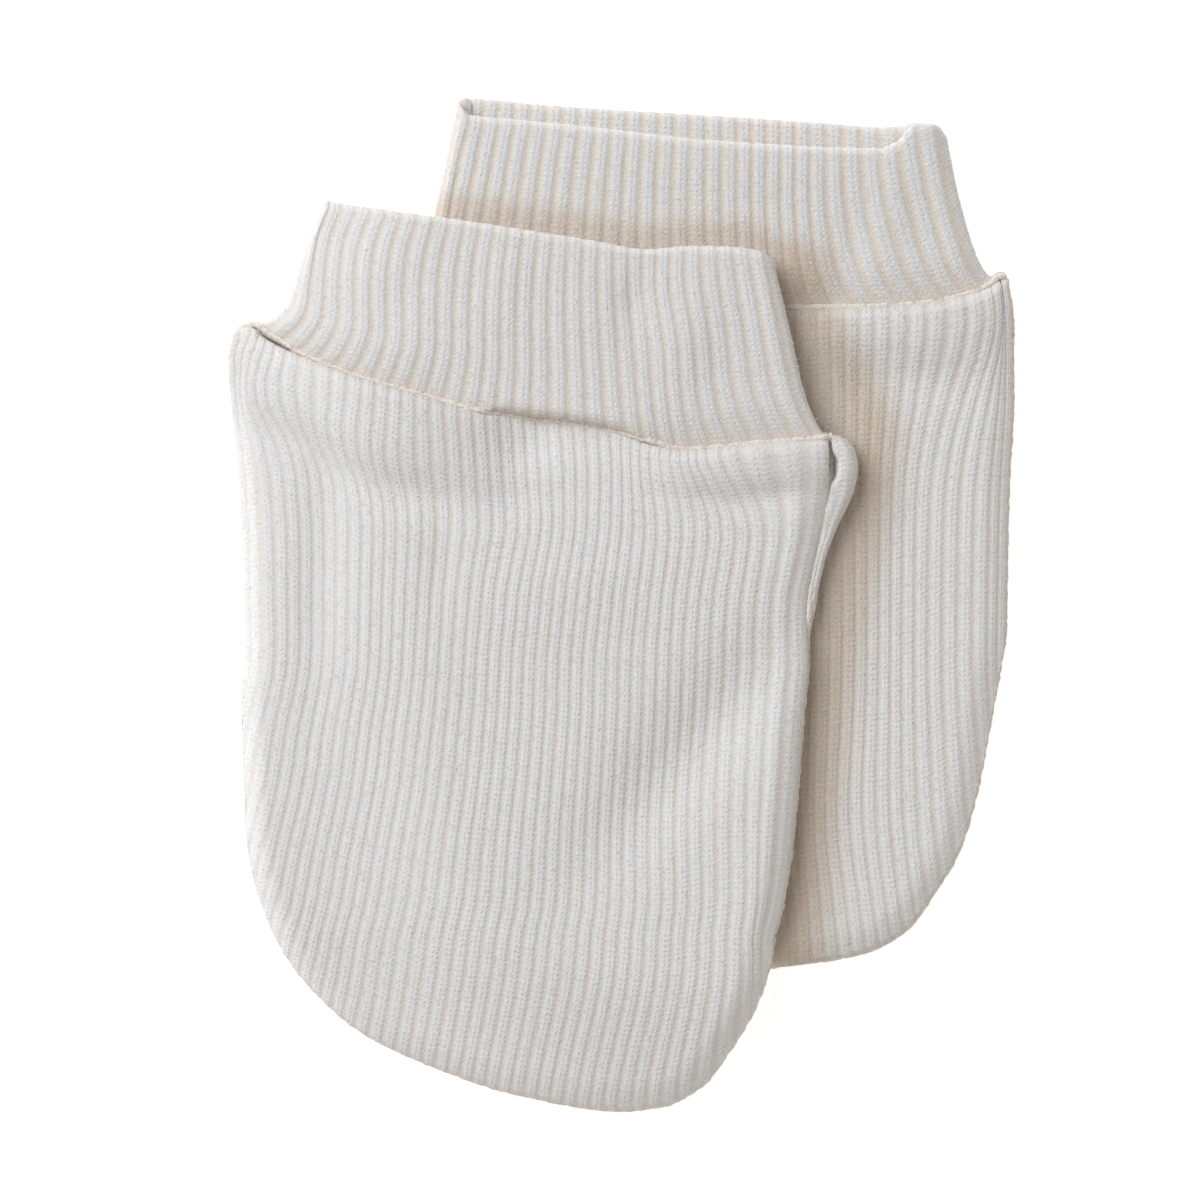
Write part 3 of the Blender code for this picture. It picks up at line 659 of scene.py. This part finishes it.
def make_under_panel(lay, name, on_top, cut, material):
    """The panel that lies flat on the surface, and curls up along the right edge where it shows."""
    steps = 4
    u = np.linspace(0, 1, PANEL_RIBS * steps + 1)
    t = body_rows(80)[:, None]
    seam_y = meet(lay, u, "seam") - SEAM_GAP / 2
    tip_y = meet(lay, u, "tip") + PANEL_INSET
    y = seam_y + (tip_y - seam_y) * t
    x = column(lay, np.broadcast_to(u, y.shape), y)
    right = curve(lay["sides"], "right", y)
    edge = right + curve(lay["sides"], "strip", y)
    x = np.clip(x, curve(lay["sides"], "left", y) + PANEL_INSET, np.minimum(right, edge - LEAST_STRIP))
    strip = np.maximum(edge - right, 0)[:, -1:]
    lip = curve(lay["sides"], "lip", y[:, -1:]) * ease(0.2, 1.0, strip)
    top = np.stack([x, y, np.full_like(x, PLY)], -1)
    furrow = cut.rib_height / MM * (1 - rib_profile(u * PANEL_RIBS, cut.rib_width))
    ends = ease(0, 0.05, t) * ease(0, 0.05, 1 - t)
    bottom = np.stack([x, y, np.broadcast_to(furrow, x.shape) * ends], -1)
    share = np.sin(np.linspace(0, 1, 17)[1:] * np.pi / 2)
    strip_x = x[:, -1:] + (edge[:, -1:] - x[:, -1:]) * share
    strip_y = np.broadcast_to(y[:, -1:], strip_x.shape)
    slit = slit_at(y[:, -1:])
    clear = OVERHANG / np.maximum(strip, 1.0)
    foot = clear + (SLIT_FOOT - clear) * slit
    rounded = np.sqrt(np.clip(1 - (np.maximum(share - CURL_CREST, 0) / (1 - CURL_CREST)) ** 2, 0.12, 1))
    rise = ease(foot, foot + 0.05 + 0.25 * slit, share) * rounded
    wales = STRIP_WALES * np.abs(np.sin(2 * np.pi * share)) * ease(0.6, 1.5, lip)
    strip_top = np.stack([strip_x, strip_y, PLY + (lip + wales) * rise], -1)
    strip_bottom = np.stack([strip_x, strip_y, STRIP_CURL * ease(0.5, 1, share) * lip], -1)
    top = np.concatenate([top, strip_top], 1)
    bottom = np.concatenate([bottom, strip_bottom], 1)
    rib = np.concatenate([u * PANEL_RIBS, PANEL_RIBS + 0.1 + share * 0.8])
    course = run_lengths(top) * MM / cut.course
    cloth = Cloth(lay, on_top)
    cloth.close(cloth.grid(top, rib, course), cloth.grid(bottom, rib, course))
    return cloth.make(name, material)


def stands_over(lay, x):
    """How far the cuff's lower edge stands out over the body at each place, 0 to 1."""
    return ease(0, 1.2, FLUSH_CREST - curve(lay["seam"], "crest", x))


def make_cuff(lay, name, on_top, cut, material, seed):
    """The ring of rib strip, folded double: ribs run up its face, over the top fold and down inside."""
    steps = cut.steps_per_rib
    half = CUFF_WALL + CUFF_HOLLOW / 2
    fold = CUFF_WALL / 2
    count = CUFF_RIBS * steps
    share = np.concatenate([np.arange(count) / count, 1 - np.arange(count) / count])
    layer = np.repeat([1.0, -1.0], count)
    rib = np.arange(2 * count + 1) / steps
    corner = np.pi * half / 2
    flat = CUFF_ACROSS - 2 * half
    run = share * (flat + 2 * corner)
    turn = np.clip(run / corner, 0, 1) - np.clip((run - flat - corner) / corner, 0, 1)
    side = np.where(run < corner + flat / 2, -1, 1)
    upright = np.sin(turn * np.pi / 2)
    outwards = np.cos(turn * np.pi / 2)
    across = np.clip((run - corner) / flat, 0, 1)
    # one row for each step up the face, round the fold and down the inside: place, and angle of the fold
    face = np.linspace(0, 1, cut.cuff_rows) ** 1.25
    bend = np.linspace(0, np.pi, 15)[1:-1]
    place = np.concatenate([face, np.ones(len(bend)), face[::-1]])
    angle = np.concatenate([np.zeros(len(face)), bend, np.full(len(face), np.pi)])
    place, angle = place[:, None], angle[:, None]
    sway, swell = wander(2 * CUFF_RIBS, rib[:-1], seed)
    profile = rib_profile(rib[:-1] + CUFF_SWAY * np.sin(place * 2 + sway), cut.rib_width)
    height = cut.cuff_rib_height / MM * profile * (1 + SWELL * np.sin(place * 3 + swell))
    inside = INSIDE_RIBS * (1 + ease(0.55, 0.95, place))
    height = height * np.where(angle > np.pi / 2, inside, 1 - FOLD_FLATTENS * ease(0.85, 1, place))
    rests = (layer < 0) & (angle < np.pi / 2)
    height = np.where(rests, height - height.max(), height)
    deep = fold - (fold + height) * np.cos(angle)
    left = curve(lay["cuff_sides"], "left", place)
    right = curve(lay["cuff_sides"], "right", place)
    reach = half - deep
    x = left + half + (right - left - 2 * half) * across
    x = x + pulled(lay["cuff_drags"], x, place, share) + side * reach * outwards
    base = curve(lay["seam"], "y", x) + SEAM_GAP / 2 - CUFF_LAP
    upper = curve(lay["cuff_top"], "upper", x)
    under = curve(lay["cuff_top"], "under", x)
    top = np.where(layer > 0, upper, under) - fold
    y = base + (top - base) * place + (fold + height) * np.sin(angle)
    z = half + layer * reach * upright
    mouth = lay["mouth"] * ease(0.35, 1, place) * np.sin(np.pi * share) ** 0.5
    dip = curve(lay["seam"], "dip", x) * np.exp(-(((y - base) / PINCH_REACH) ** 2))
    rounding = 1 - np.sqrt(np.clip(1 - (1 - np.clip((y - base) / CUFF_BULGE, 0, 1)) ** 2, 0, 1))
    dip = np.maximum(dip, stands_over(lay, x) * CUFF_BULGE * rounding)
    crease = folds_at(lay["cuff_folds"], x, y)
    z = z + np.where(layer > 0, upright * (mouth + (crease - dip) * (angle < 0.1)), 0)
    points = np.stack([x, y, z], -1)
    cloth = Cloth(lay, on_top)
    course = np.concatenate([run_lengths(points), run_lengths(points)[:, :1]], 1) * MM / cut.course
    index = cloth.grid(points, rib, course, closed=True)
    cloth.strip(index[0], index[-1])
    return cloth.make(name, material)


# ---------------------------------------------------------------- finishes


def give(tree, socket, value):
    """Gives a socket a link, a number, a name or a colour."""
    value = getattr(value, "socket", value)
    if isinstance(value, bpy.types.NodeSocket):
        tree.links.new(value, socket)
    elif socket.type == "RGBA":
        socket.default_value = tuple(value) + (1.0,) * (4 - len(value))
    else:
        socket.default_value = value


def add_node(tree, kind, given=(), **settings):
    """A node with its settings, and what its inputs are given, by name or number."""
    node = tree.nodes.new(kind)
    for key, value in settings.items():
        setattr(node, key, value)
    for key, value in dict(given).items():
        give(tree, node.inputs[key], value)
    return node


class Value:
    """A number in a finish's node tree, so that sums of such numbers can be written plainly."""

    def __init__(self, tree, socket):
        self.tree = tree
        self.socket = socket

    def math(self, operation, *others):
        node = add_node(self.tree, "ShaderNodeMath", enumerate((self, *others)), operation=operation)
        return Value(self.tree, node.outputs[0])

    def __add__(self, other):
        return self.math("ADD", other)

    def __sub__(self, other):
        return self.math("SUBTRACT", other)

    def __mul__(self, other):
        return self.math("MULTIPLY", other)


def mix_colour(tree, share, a, b):
    """A colour mixed from a to b by share."""
    return add_node(tree, "ShaderNodeMix", {0: share, 6: a, 7: b}, data_type="RGBA").outputs[2]


def noise(tree, place, scale, detail=2.0):
    node = add_node(tree, "ShaderNodeTexNoise", {"Vector": place, "Scale": scale, "Detail": detail})
    return Value(tree, node.outputs["Fac"])


def new_finish(name, given):
    """A material, its node tree and its shader, with what the shader's inputs are given."""
    material = bpy.data.materials.new(name)
    material.use_nodes = True
    tree = material.node_tree
    shader = tree.nodes["Principled BSDF"]
    for key, value in given.items():
        give(tree, shader.inputs[key], value)
    return material, tree, shader


def knit_finish(name, finish, stitch_depth, crown_tone, furrow):
    """Rib knit: a column of small chevron stitches on each rib, purl bars in the furrows, and a soft nap."""
    material, tree, shader = new_finish(name, {**SOFT_YARN, **YARN_DEPTH})
    knit = add_node(tree, "ShaderNodeUVMap", uv_map="knit").outputs["UV"]
    place = add_node(tree, "ShaderNodeTexCoord").outputs["Object"]
    split = add_node(tree, "ShaderNodeSeparateXYZ", {0: knit})
    rib, course = (Value(tree, socket) for socket in split.outputs[:2])
    across = (rib.math("FRACT") - 0.5).math("ABSOLUTE")
    given = {"Value": across, "From Min": FURROW_STARTS, "From Max": CROWN_ENDS}
    edge = add_node(tree, "ShaderNodeMapRange", given, interpolation_type="SMOOTHSTEP")
    crown = Value(tree, edge.outputs["Result"])
    wale = (across * (math.pi / WALE)).math("SINE")
    ragged = (noise(tree, place, RAGGED_SCALE) - 0.5) * RAGGED
    leg = (across - WALE / 2).math("ABSOLUTE")
    chevron = ((course + ragged + leg * CHEVRON_SLANT) * (2 * math.pi)).math("SINE")
    bars = ((course + 0.5) * (2 * math.pi)).math("SINE")
    stitch = chevron * across.math("LESS_THAN", WALE) + bars * PURL_BARS
    fibre = noise(tree, place, finish.nap_scale, 3.0)
    given = {0: rib * STRANDS_ACROSS, 1: course * STRANDS_ALONG}
    lengthwise = add_node(tree, "ShaderNodeCombineXYZ", given)
    strands = noise(tree, lengthwise.outputs[0], 1.0, 4.0)
    speckle = noise(tree, place, finish.nap_scale)
    cloudy = noise(tree, place, CLOUD_SCALE)
    height = stitch * RELIEF["stitch"] + fibre * RELIEF["fibre"] + strands * RELIEF["strands"]
    height = height + wale * RELIEF["wale"]
    bump = add_node(tree, "ShaderNodeBump", {"Strength": 1.0, "Distance": stitch_depth, "Height": height})
    give(tree, shader.inputs["Normal"], bump.outputs["Normal"])
    # painted shade: the furrows are coloured darker and warmer than the crowns
    ground = mix_colour(tree, crown, furrow, crown_tone)
    # painted shade: the colour goes towards the painted shade colour along the seams and beside the upper
    # mitten, a little less on the crowns
    shade_paint = add_node(tree, "ShaderNodeAttribute", attribute_name="sheltered")
    deep = Value(tree, shade_paint.outputs["Fac"]) * (crown * -CROWN_SPARED + 1.0)
    ground = mix_colour(tree, deep, ground, finish.painted_shade_colour)
    # the small hollows' colour: random speckle of tone, with painted shade in the hollows of the stitches
    # and between the wales
    shade = speckle * SHADE["speckle"] + stitch * SHADE["stitch"] + cloudy * SHADE["cloudy"]
    shade = shade + wale * SHADE["wale"] + (strands - 0.5) * SHADE["strands"]
    shade = shade.math("MULTIPLY_ADD", -4 * finish.speckle, 0.35 + 2.4 * finish.speckle)
    shade.socket.node.use_clamp = True
    give(tree, shader.inputs["Base Color"], mix_colour(tree, shade, ground, finish.speckle_and_hollow_shade_colour))
    return material


def yarn_finish(name, dark, light):
    """Loose yarn and sewing: a mix of two of the knit's colours, painted shade colours among them, with
    slight changes along it.
    """
    material, tree, shader = new_finish(name, SOFT_YARN)
    place = add_node(tree, "ShaderNodeTexCoord").outputs["Object"]
    give(tree, shader.inputs["Base Color"], mix_colour(tree, noise(tree, place, YARN_SCALE), dark, light))
    return material


# ---------------------------------------------------------------- sewing and nap


def new_tree(name, *sizes):
    """A Geometry Nodes tree with named inputs, and what it is given."""
    tree = bpy.data.node_groups.new(name, "GeometryNodeTree")
    sockets = [("Geometry", "INPUT", "Geometry"), ("Geometry", "OUTPUT", "Geometry")]
    sockets += [(size, "INPUT", "Float") for size in sizes]
    for label, way, kind in sockets + [("Finish", "INPUT", "Material")]:
        tree.interface.new_socket(label, in_out=way, socket_type="NodeSocket" + kind)
    return tree, add_node(tree, "NodeGroupInput").outputs


def end_tree(tree, source, given):
    """Ends a tree: its instances made real, with their finish."""
    real = add_node(tree, "GeometryNodeRealizeInstances", {"Geometry": source})
    inputs = {"Geometry": real.outputs["Geometry"], "Material": given["Finish"]}
    finish = add_node(tree, "GeometryNodeSetMaterial", inputs)
    add_node(tree, "NodeGroupOutput", {"Geometry": finish.outputs["Geometry"]})
    return tree


def turned(tree, rotation, low, high, seed):
    """A rotation turned further by a random angle about each of its own axes."""
    given = {0: low, 1: high, "Seed": seed}
    angle = add_node(tree, "FunctionNodeRandomValue", given, data_type="FLOAT_VECTOR")
    euler = add_node(tree, "FunctionNodeEulerToRotation", {0: angle.outputs[0]})
    given = {"Rotation": rotation, "Rotate By": euler.outputs[0]}
    return add_node(tree, "FunctionNodeRotateRotation", given, rotation_space="LOCAL").outputs[0]


def random_size(tree, low, high, seed):
    given = {2: low, 3: high, "Seed": seed}
    return add_node(tree, "FunctionNodeRandomValue", given, data_type="FLOAT").outputs[1]


def stitch_tree():
    """Slanting stitches, one after another along the lines of the mesh that it is given."""
    tree, given = new_tree("stitches", "Pitch", "Length", "Thickness")
    line = add_node(tree, "GeometryNodeMeshToCurve", {"Mesh": given["Geometry"]})
    run = {"Curve": line.outputs["Curve"], "Length": given["Pitch"]}
    spots = add_node(tree, "GeometryNodeCurveToPoints", run, mode="LENGTH")
    bead = add_node(tree, "GeometryNodeMeshUVSphere", {"Segments": 6, "Rings": 5, "Radius": 0.5})
    sizes = {0: given["Thickness"], 1: given["Thickness"], 2: given["Length"]}
    inputs = {
        "Points": spots.outputs["Points"],
        "Instance": bead.outputs["Mesh"],
        "Rotation": turned(tree, spots.outputs["Rotation"], (0.1, 0.1, 0), (0.3, 0.3, 3), 3),
        "Scale": add_node(tree, "ShaderNodeCombineXYZ", sizes).outputs[0],
    }
    place = add_node(tree, "GeometryNodeInstanceOnPoints", inputs)
    inputs = {"Instances": place.outputs["Instances"], "Scale": random_size(tree, 0.85, 1.15, 4)}
    sized = add_node(tree, "GeometryNodeScaleInstances", inputs)
    return end_tree(tree, sized.outputs["Instances"], given)


def more_than(tree, vector, axis, least):
    """Whether one part of a vector is more than a given value."""
    part = add_node(tree, "ShaderNodeSeparateXYZ", {0: vector}).outputs[axis]
    return add_node(tree, "FunctionNodeCompare", {0: part, 1: least}, operation="GREATER_THAN").outputs[0]


def both(tree, one, other):
    return add_node(tree, "FunctionNodeBooleanMath", {0: one, 1: other}, operation="AND").outputs[0]


def nap_tree():
    """Short loose fibres, on the upward faces past a given rib and above a given height."""
    tree, given = new_tree("nap", "Density", "Length", "Thickness", "First rib", "Lowest")
    facing = add_node(tree, "GeometryNodeInputNormal").outputs[0]
    knit = add_node(tree, "GeometryNodeInputNamedAttribute", {"Name": "knit"}, data_type="FLOAT_VECTOR")
    is_up = more_than(tree, facing, 2, NAP_FACES_UP)
    is_past = more_than(tree, knit.outputs[0], 0, given["First rib"])
    position = add_node(tree, "GeometryNodeInputPosition").outputs[0]
    wanted = both(tree, both(tree, is_up, is_past), more_than(tree, position, 2, given["Lowest"]))
    inputs = {"Mesh": given["Geometry"], "Selection": wanted, "Density": given["Density"], "Seed": 7}
    spread = add_node(tree, "GeometryNodeDistributePointsOnFaces", inputs, distribute_method="RANDOM")
    cone = {"Vertices": 3, "Radius Top": 0.0, "Radius Bottom": given["Thickness"], "Depth": given["Length"]}
    inputs = {
        "Points": spread.outputs["Points"],
        "Instance": add_node(tree, "GeometryNodeMeshCone", cone).outputs["Mesh"],
        "Rotation": turned(tree, spread.outputs["Rotation"], (-1.3, -1.3, 0), (1.3, 1.3, 6), 5),
        "Scale": random_size(tree, 0.5, 1.3, 6),
    }
    place = add_node(tree, "GeometryNodeInstanceOnPoints", inputs)
    return end_tree(tree, place.outputs["Instances"], given)


def grown(name, mesh, tree, values):
    """Runs a tree on a mesh, and keeps what it makes as a plain object."""
    holder = placed(name + "_base", mesh)
    modifier = holder.modifiers.new("grow", "NODES")
    modifier.node_group = tree
    for label, value in values.items():
        modifier[tree.interface.items_tree[label].identifier] = value
    graph = bpy.context.evaluated_depsgraph_get()
    made = bpy.data.meshes.new_from_object(holder.evaluated_get(graph), depsgraph=graph)
    bpy.data.objects.remove(holder)
    made.name = name
    return placed(name, made)


def seam_lines(lay, on_top):
    """Where the sewing runs: round the cuff seam, and round the sides and tip of the body."""
    u = np.linspace(SEAM_END, 1 - SEAM_END, 160)
    y = meet(lay, u, "seam")
    x = column(lay, u, y)
    pinch = np.maximum(curve(lay["seam"], "dip", x), CUFF_BULGE * stands_over(lay, x))
    roll = curve(lay["seam"], "crest", x) + PLY / 2
    level = np.minimum(roll, 2 * CUFF_WALL + CUFF_HOLLOW - pinch)
    over = np.stack([x, y - SEAM_BACK, level - SEAM_DEPTH], -1)
    under = np.stack([x, y, np.full_like(x, 1.0)], -1)
    corner = over[: len(u) // 8] + (0.0, 0.15, 0.3)
    line = fold_line(lay)
    top = meet(lay, np.array([0.0, 1.0]), "seam")
    half = len(line) // 2
    line = np.concatenate([line[:half][line[:half, 1] < top[0]], line[half:][line[half:, 1] < top[1]]])
    run = np.gradient(line, axis=0)
    run /= np.linalg.norm(run, axis=1, keepdims=True)
    line = line - np.stack([-run[:, 1], run[:, 0]], 1) * EDGE_SEWING
    x, y = line.T
    lip = curve(lay["sides"], "lip", y) * (x > 0)
    slit = slit_at(y) * (lip > 0.5)
    edge = np.stack([x + 0.35 * ease(0.2, 1, lip), y, 1.25 + np.minimum(lip, 0.9) - 0.3 * slit], -1)
    return [raised(points, on_top) for points in (over, corner, under, edge)]


def line_mesh(name, lines):
    """A mesh of bare lines, in metres."""
    mesh = bpy.data.meshes.new(name)
    points = np.concatenate(lines) * MM
    edges = []
    first = 0
    for line in lines:
        edges += [(first + i, first + i + 1) for i in range(len(line) - 1)]
        first += len(line)
    mesh.from_pydata(points.tolist(), edges, [])
    return mesh


# ---------------------------------------------------------------- settings


def setting(kind, **limits):
    """A way of writing settings of one kind as a name, a description and a default."""

    def made(name, description, default, **more):
        return kind(name=name, description=description, default=default, **limits, **more)

    return made


length = setting(FloatProperty, unit="LENGTH")
part_of = setting(FloatProperty, max=1.0, subtype="FACTOR")
amount = setting(FloatProperty)
count = setting(IntProperty)
colour = setting(FloatVectorProperty, subtype="COLOR")


class MittenCut(bpy.types.PropertyGroup):
    """Sizes of the knit."""

    rib_height: length("Body rib height", "How far a body rib stands out of its furrow", 0.00008)
    cuff_rib_height: length("Cuff rib height", "How far a cuff rib stands out of its furrow", 0.00012)
    rib_width: part_of("Rib width", "Share of a rib's pitch that its crown takes up", 0.80, min=0.3)
    course: length("Course", "Length of one stitch along a rib", 0.00075)
    steps_per_rib: count("Steps per rib", "Points across each rib", 8)
    panel_rows: count("Panel rows", "Rows of points along a panel", 150)
    cuff_rows: count("Cuff rows", "Rows of points up a cuff's face", 50)


class MittenFinish(bpy.types.PropertyGroup):
    """Colours and nap of the yarn."""

    crown_colour: colour("Crown colour", "On the crowns of the ribs", (0.82, 0.79, 0.75))
    # painted shade: the furrows are coloured darker and warmer than the crowns, for the shade that falls in
    # them
    furrow_shade_colour: colour("Furrow colour", "Down in the furrows", (0.81, 0.74, 0.66))
    cuff_crown_colour: colour("Cuff crown colour", "On the crowns of the cuffs' ribs", (0.79, 0.76, 0.72))
    # painted shade in the cuffs' furrows, warmer still
    cuff_furrow_colour: colour("Cuff furrow colour", "In the furrows of the cuffs", (0.84, 0.72, 0.585))
    # a warmer copy of the painted furrow shade, for the lower mitten's cuff
    lower_cuff_furrow_colour: colour(
        "Lower cuff furrow colour", "In the furrows of the lower mitten's cuff", (0.86, 0.70, 0.53)
    )
    # partly the yarn's random speckle of tone, and partly painted shade in the small hollows between the
    # stitches
    speckle_and_hollow_shade_colour: colour("Hollow colour", "Small hollows between the stitches", (0.72, 0.67, 0.615))
    # painted shade: the colour of the warm shade painted along the seams, and of the shadow painted beside
    # the upper mitten
    painted_shade_colour: colour(
        "Sheltered colour", "Beside a seam, or beside the other mitten", (0.56, 0.40, 0.25)
    )
    nap_scale: amount("Nap scale", "Fineness of the nap, per metre", 3800.0)
    speckle: part_of("Speckle", "Strength of the small hollows", 0.35, min=0.0)


class MittenYarn(bpy.types.PropertyGroup):
    """Sizes of the sewing and of the nap."""

    stitch_pitch: length("Stitch pitch", "From one seam stitch to the next", 0.0005)
    stitch_length: length("Stitch length", "Length of a seam stitch", 0.0015)
    stitch_thickness: length("Stitch thickness", "Thickness of a seam stitch", 0.00095)
    nap_density: amount("Nap density", "Fibres on each square metre of cloth", 2.3e6)
    nap_length: length("Nap length", "Length of a loose fibre", 0.0008)
    nap_thickness: length("Nap thickness", "Radius of a loose fibre at its root", 0.00003)


class MittenStage(bpy.types.PropertyGroup):
    """Camera, light and floor."""

    camera_height: length("Camera height", "Height of the camera above the floor", 1.5)
    view_width: length("View width", "Width of the floor that the camera sees", 0.17647)
    key_strength: amount("Key strength", "Strength of the window light", 1.65)
    fill_strength: amount("Fill strength", "Strength of the room's light", 0.39)
    floor_glow: amount("Floor glow", "Light that the floor gives off", 0.60)


# ---------------------------------------------------------------- operators


def node_of(name):
    """The CAD piece that a piece of the scene stands for."""
    return name.replace("_", "_mitten_", 1)


def settle(piece):
    """Puts a finished piece of cloth in place of the CAD part that it stands for, which it hides, and
    attaches it to the root body.
    """
    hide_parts(node_of(piece.name))
    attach(piece, "root")


# Name, tables, whether it lies on the other one, and the seed of its ribs' sway
MITTENS = (("lower", LOWER, False, 11), ("upper", UPPER, True, 23))
# The pieces that have a nap, and the rib that it starts past: the cuffs' tucked ends have none, and of
# the under panels only the edge that curls up shows
NAPPED = (
    ("lower_top_panel", -1.0),
    ("lower_cuff", 0.01),
    ("upper_top_panel", -1.0),
    ("upper_cuff", 0.01),
    ("upper_under_panel", PANEL_RIBS + 0.15),
)


class MITTENS_OT_under_panels(bpy.types.Operator):
    """Make the two under panels, which lie flat"""

    bl_idname = "mittens.under_panels"
    bl_label = "Under panels"

    def execute(self, context):
        tones = context.scene.mitten_finish
        colours = tones.crown_colour, tones.furrow_shade_colour
        for which, lay, on_top, _ in MITTENS:
            finish = knit_finish(f"{which}_under_knit", tones, BODY_STITCHES, *colours)
            cut = context.scene.mitten_cut
            piece = make_under_panel(lay, f"{which}_under_panel", on_top, cut, finish)
            settle(piece)
        return {"FINISHED"}


class MITTENS_OT_top_panels(bpy.types.Operator):
    """Make the two top panels, with their ribs"""

    bl_idname = "mittens.top_panels"
    bl_label = "Top panels"

    def execute(self, context):
        tones = context.scene.mitten_finish
        colours = tones.crown_colour, tones.furrow_shade_colour
        for which, lay, on_top, seed in MITTENS:
            finish = knit_finish(f"{which}_top_knit", tones, BODY_STITCHES, *colours)
            cut = context.scene.mitten_cut
            piece = make_top_panel(lay, f"{which}_top_panel", on_top, cut, finish, seed)
            settle(piece)
        return {"FINISHED"}


class MITTENS_OT_cuffs(bpy.types.Operator):
    """Make the two cuffs, folded double"""

    bl_idname = "mittens.cuffs"
    bl_label = "Cuffs"

    def execute(self, context):
        tones = context.scene.mitten_finish
        for which, lay, on_top, seed in MITTENS:
            # the lower mitten's cuff gets a warmer painted shade in its furrows than the upper one's
            furrow = tones.cuff_furrow_colour if on_top else tones.lower_cuff_furrow_colour
            colours = tones.cuff_crown_colour, furrow
            finish = knit_finish(f"{which}_cuff_knit", tones, CUFF_STITCHES, *colours)
            cut = context.scene.mitten_cut
            piece = make_cuff(lay, f"{which}_cuff", on_top, cut, finish, seed + 5)
            settle(piece)
        return {"FINISHED"}


class MITTENS_OT_sewing(bpy.types.Operator):
    """Sew the seams, with stitches that show down in their grooves"""

    bl_idname = "mittens.sewing"
    bl_label = "Sewing"

    def execute(self, context):
        yarn = context.scene.mitten_yarn
        tones = context.scene.mitten_finish
        tree = stitch_tree()
        values = {
            "Pitch": yarn.stitch_pitch,
            "Length": yarn.stitch_length,
            "Thickness": yarn.stitch_thickness,
            # the sewing takes the painted shade colours of the hollows and of the cuffs' furrows, so that it
            # reads as the shaded groove it lies in
            "Finish": yarn_finish("sewing_yarn", tones.speckle_and_hollow_shade_colour, tones.cuff_furrow_colour),
        }
        for which, lay, on_top, _ in MITTENS:
            name = f"{which}_seam_stitches"
            piece = grown(name, line_mesh(name, seam_lines(lay, on_top)), tree, values)
            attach(piece, "root")
        return {"FINISHED"}


class MITTENS_OT_nap(bpy.types.Operator):
    """Raise a nap of short fibres on the top panels, the cuffs and the edge that shows"""

    bl_idname = "mittens.nap"
    bl_label = "Nap"

    def execute(self, context):
        yarn = context.scene.mitten_yarn
        tones = context.scene.mitten_finish
        tree = nap_tree()
        values = {
            "Density": yarn.nap_density,
            "Length": yarn.nap_length,
            "Thickness": yarn.nap_thickness,
            "Lowest": NAP_CLEAR * yarn.nap_length,
            # the fibres take colours between the painted furrow shade and the crowns
            "Finish": yarn_finish("nap_yarn", tones.furrow_shade_colour, tones.crown_colour),
        }
        for name, first_rib in NAPPED:
            values["First rib"] = first_rib
            piece = grown(name + "_nap", bpy.data.objects[name].data.copy(), tree, values)
            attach(piece, "root")
        return {"FINISHED"}


class MITTENS_OT_stage(bpy.types.Operator):
    """Make the camera, the light and the pale floor"""

    bl_idname = "mittens.stage"
    bl_label = "Stage"

    def execute(self, context):
        scene = context.scene
        stage = scene.mitten_stage
        camera = bpy.data.cameras.new("camera")
        camera.sensor_width = 36
        camera.lens = camera.sensor_width * stage.camera_height / stage.view_width
        camera.clip_end = 10
        scene.camera = placed("camera", camera)
        scene.camera.location = (*CAMERA_OVER, stage.camera_height)
        key = bpy.data.lights.new("window", "AREA")
        key.shape = "DISK"
        key.size = WINDOW_SIZE
        key.energy = stage.key_strength * 10
        key.color = WINDOW_COLOUR
        window = placed("window", key)
        window.location = WINDOW_PLACE
        window.rotation_euler = Vector(WINDOW_PLACE).to_track_quat("Z", "Y").to_euler()
        scene.world = bpy.data.worlds.new("room")
        scene.world.use_nodes = True
        room = scene.world.node_tree.nodes["Background"]
        room.inputs["Color"].default_value = ROOM_COLOUR
        room.inputs["Strength"].default_value = stage.fill_strength
        place = (0, 0, FLOOR_DEPTH)
        bpy.ops.mesh.primitive_grid_add(x_subdivisions=4, y_subdivisions=4, size=6, location=place)
        floor = context.object
        floor.name = "floor"
        white = {
            "Base Color": FLOOR_COLOUR,
            "Roughness": 0.9,
            "Emission Color": (1.0, 1.0, 1.0),
            "Emission Strength": stage.floor_glow,
        }
        floor.data.materials.append(new_finish("floor_white", white)[0])
        scene.view_settings.view_transform = "Standard"
        return {"FINISHED"}


class MITTENS_PT_panel(bpy.types.Panel):
    """The mittens' settings and pieces"""

    bl_label = "Mittens"
    bl_space_type = "VIEW_3D"
    bl_region_type = "UI"
    bl_category = "Mittens"

    def draw(self, context):
        for name, group in SETTINGS.items():
            box = self.layout.box()
            for key in group.__annotations__:
                box.prop(getattr(context.scene, name), key)
        for operator in PIECES:
            self.layout.operator(operator.bl_idname)


SETTINGS = {
    "mitten_cut": MittenCut,
    "mitten_finish": MittenFinish,
    "mitten_yarn": MittenYarn,
    "mitten_stage": MittenStage,
}
PIECES = (
    MITTENS_OT_stage,
    MITTENS_OT_under_panels,
    MITTENS_OT_top_panels,
    MITTENS_OT_cuffs,
    MITTENS_OT_sewing,
    MITTENS_OT_nap,
)
CLASSES = (*SETTINGS.values(), *PIECES, MITTENS_PT_panel)


def register():
    for made in CLASSES:
        bpy.utils.register_class(made)
    for name, group in SETTINGS.items():
        setattr(bpy.types.Scene, name, PointerProperty(type=group))


def unregister():
    for name in SETTINGS:
        delattr(bpy.types.Scene, name)
    for made in reversed(CLASSES):
        bpy.utils.unregister_class(made)


def main():
    register()
    bpy.ops.mittens.stage()
    bpy.ops.mittens.under_panels()
    bpy.ops.mittens.top_panels()
    bpy.ops.mittens.cuffs()
    bpy.ops.mittens.sewing()
    bpy.ops.mittens.nap()


if __name__ == "__main__":
    main()
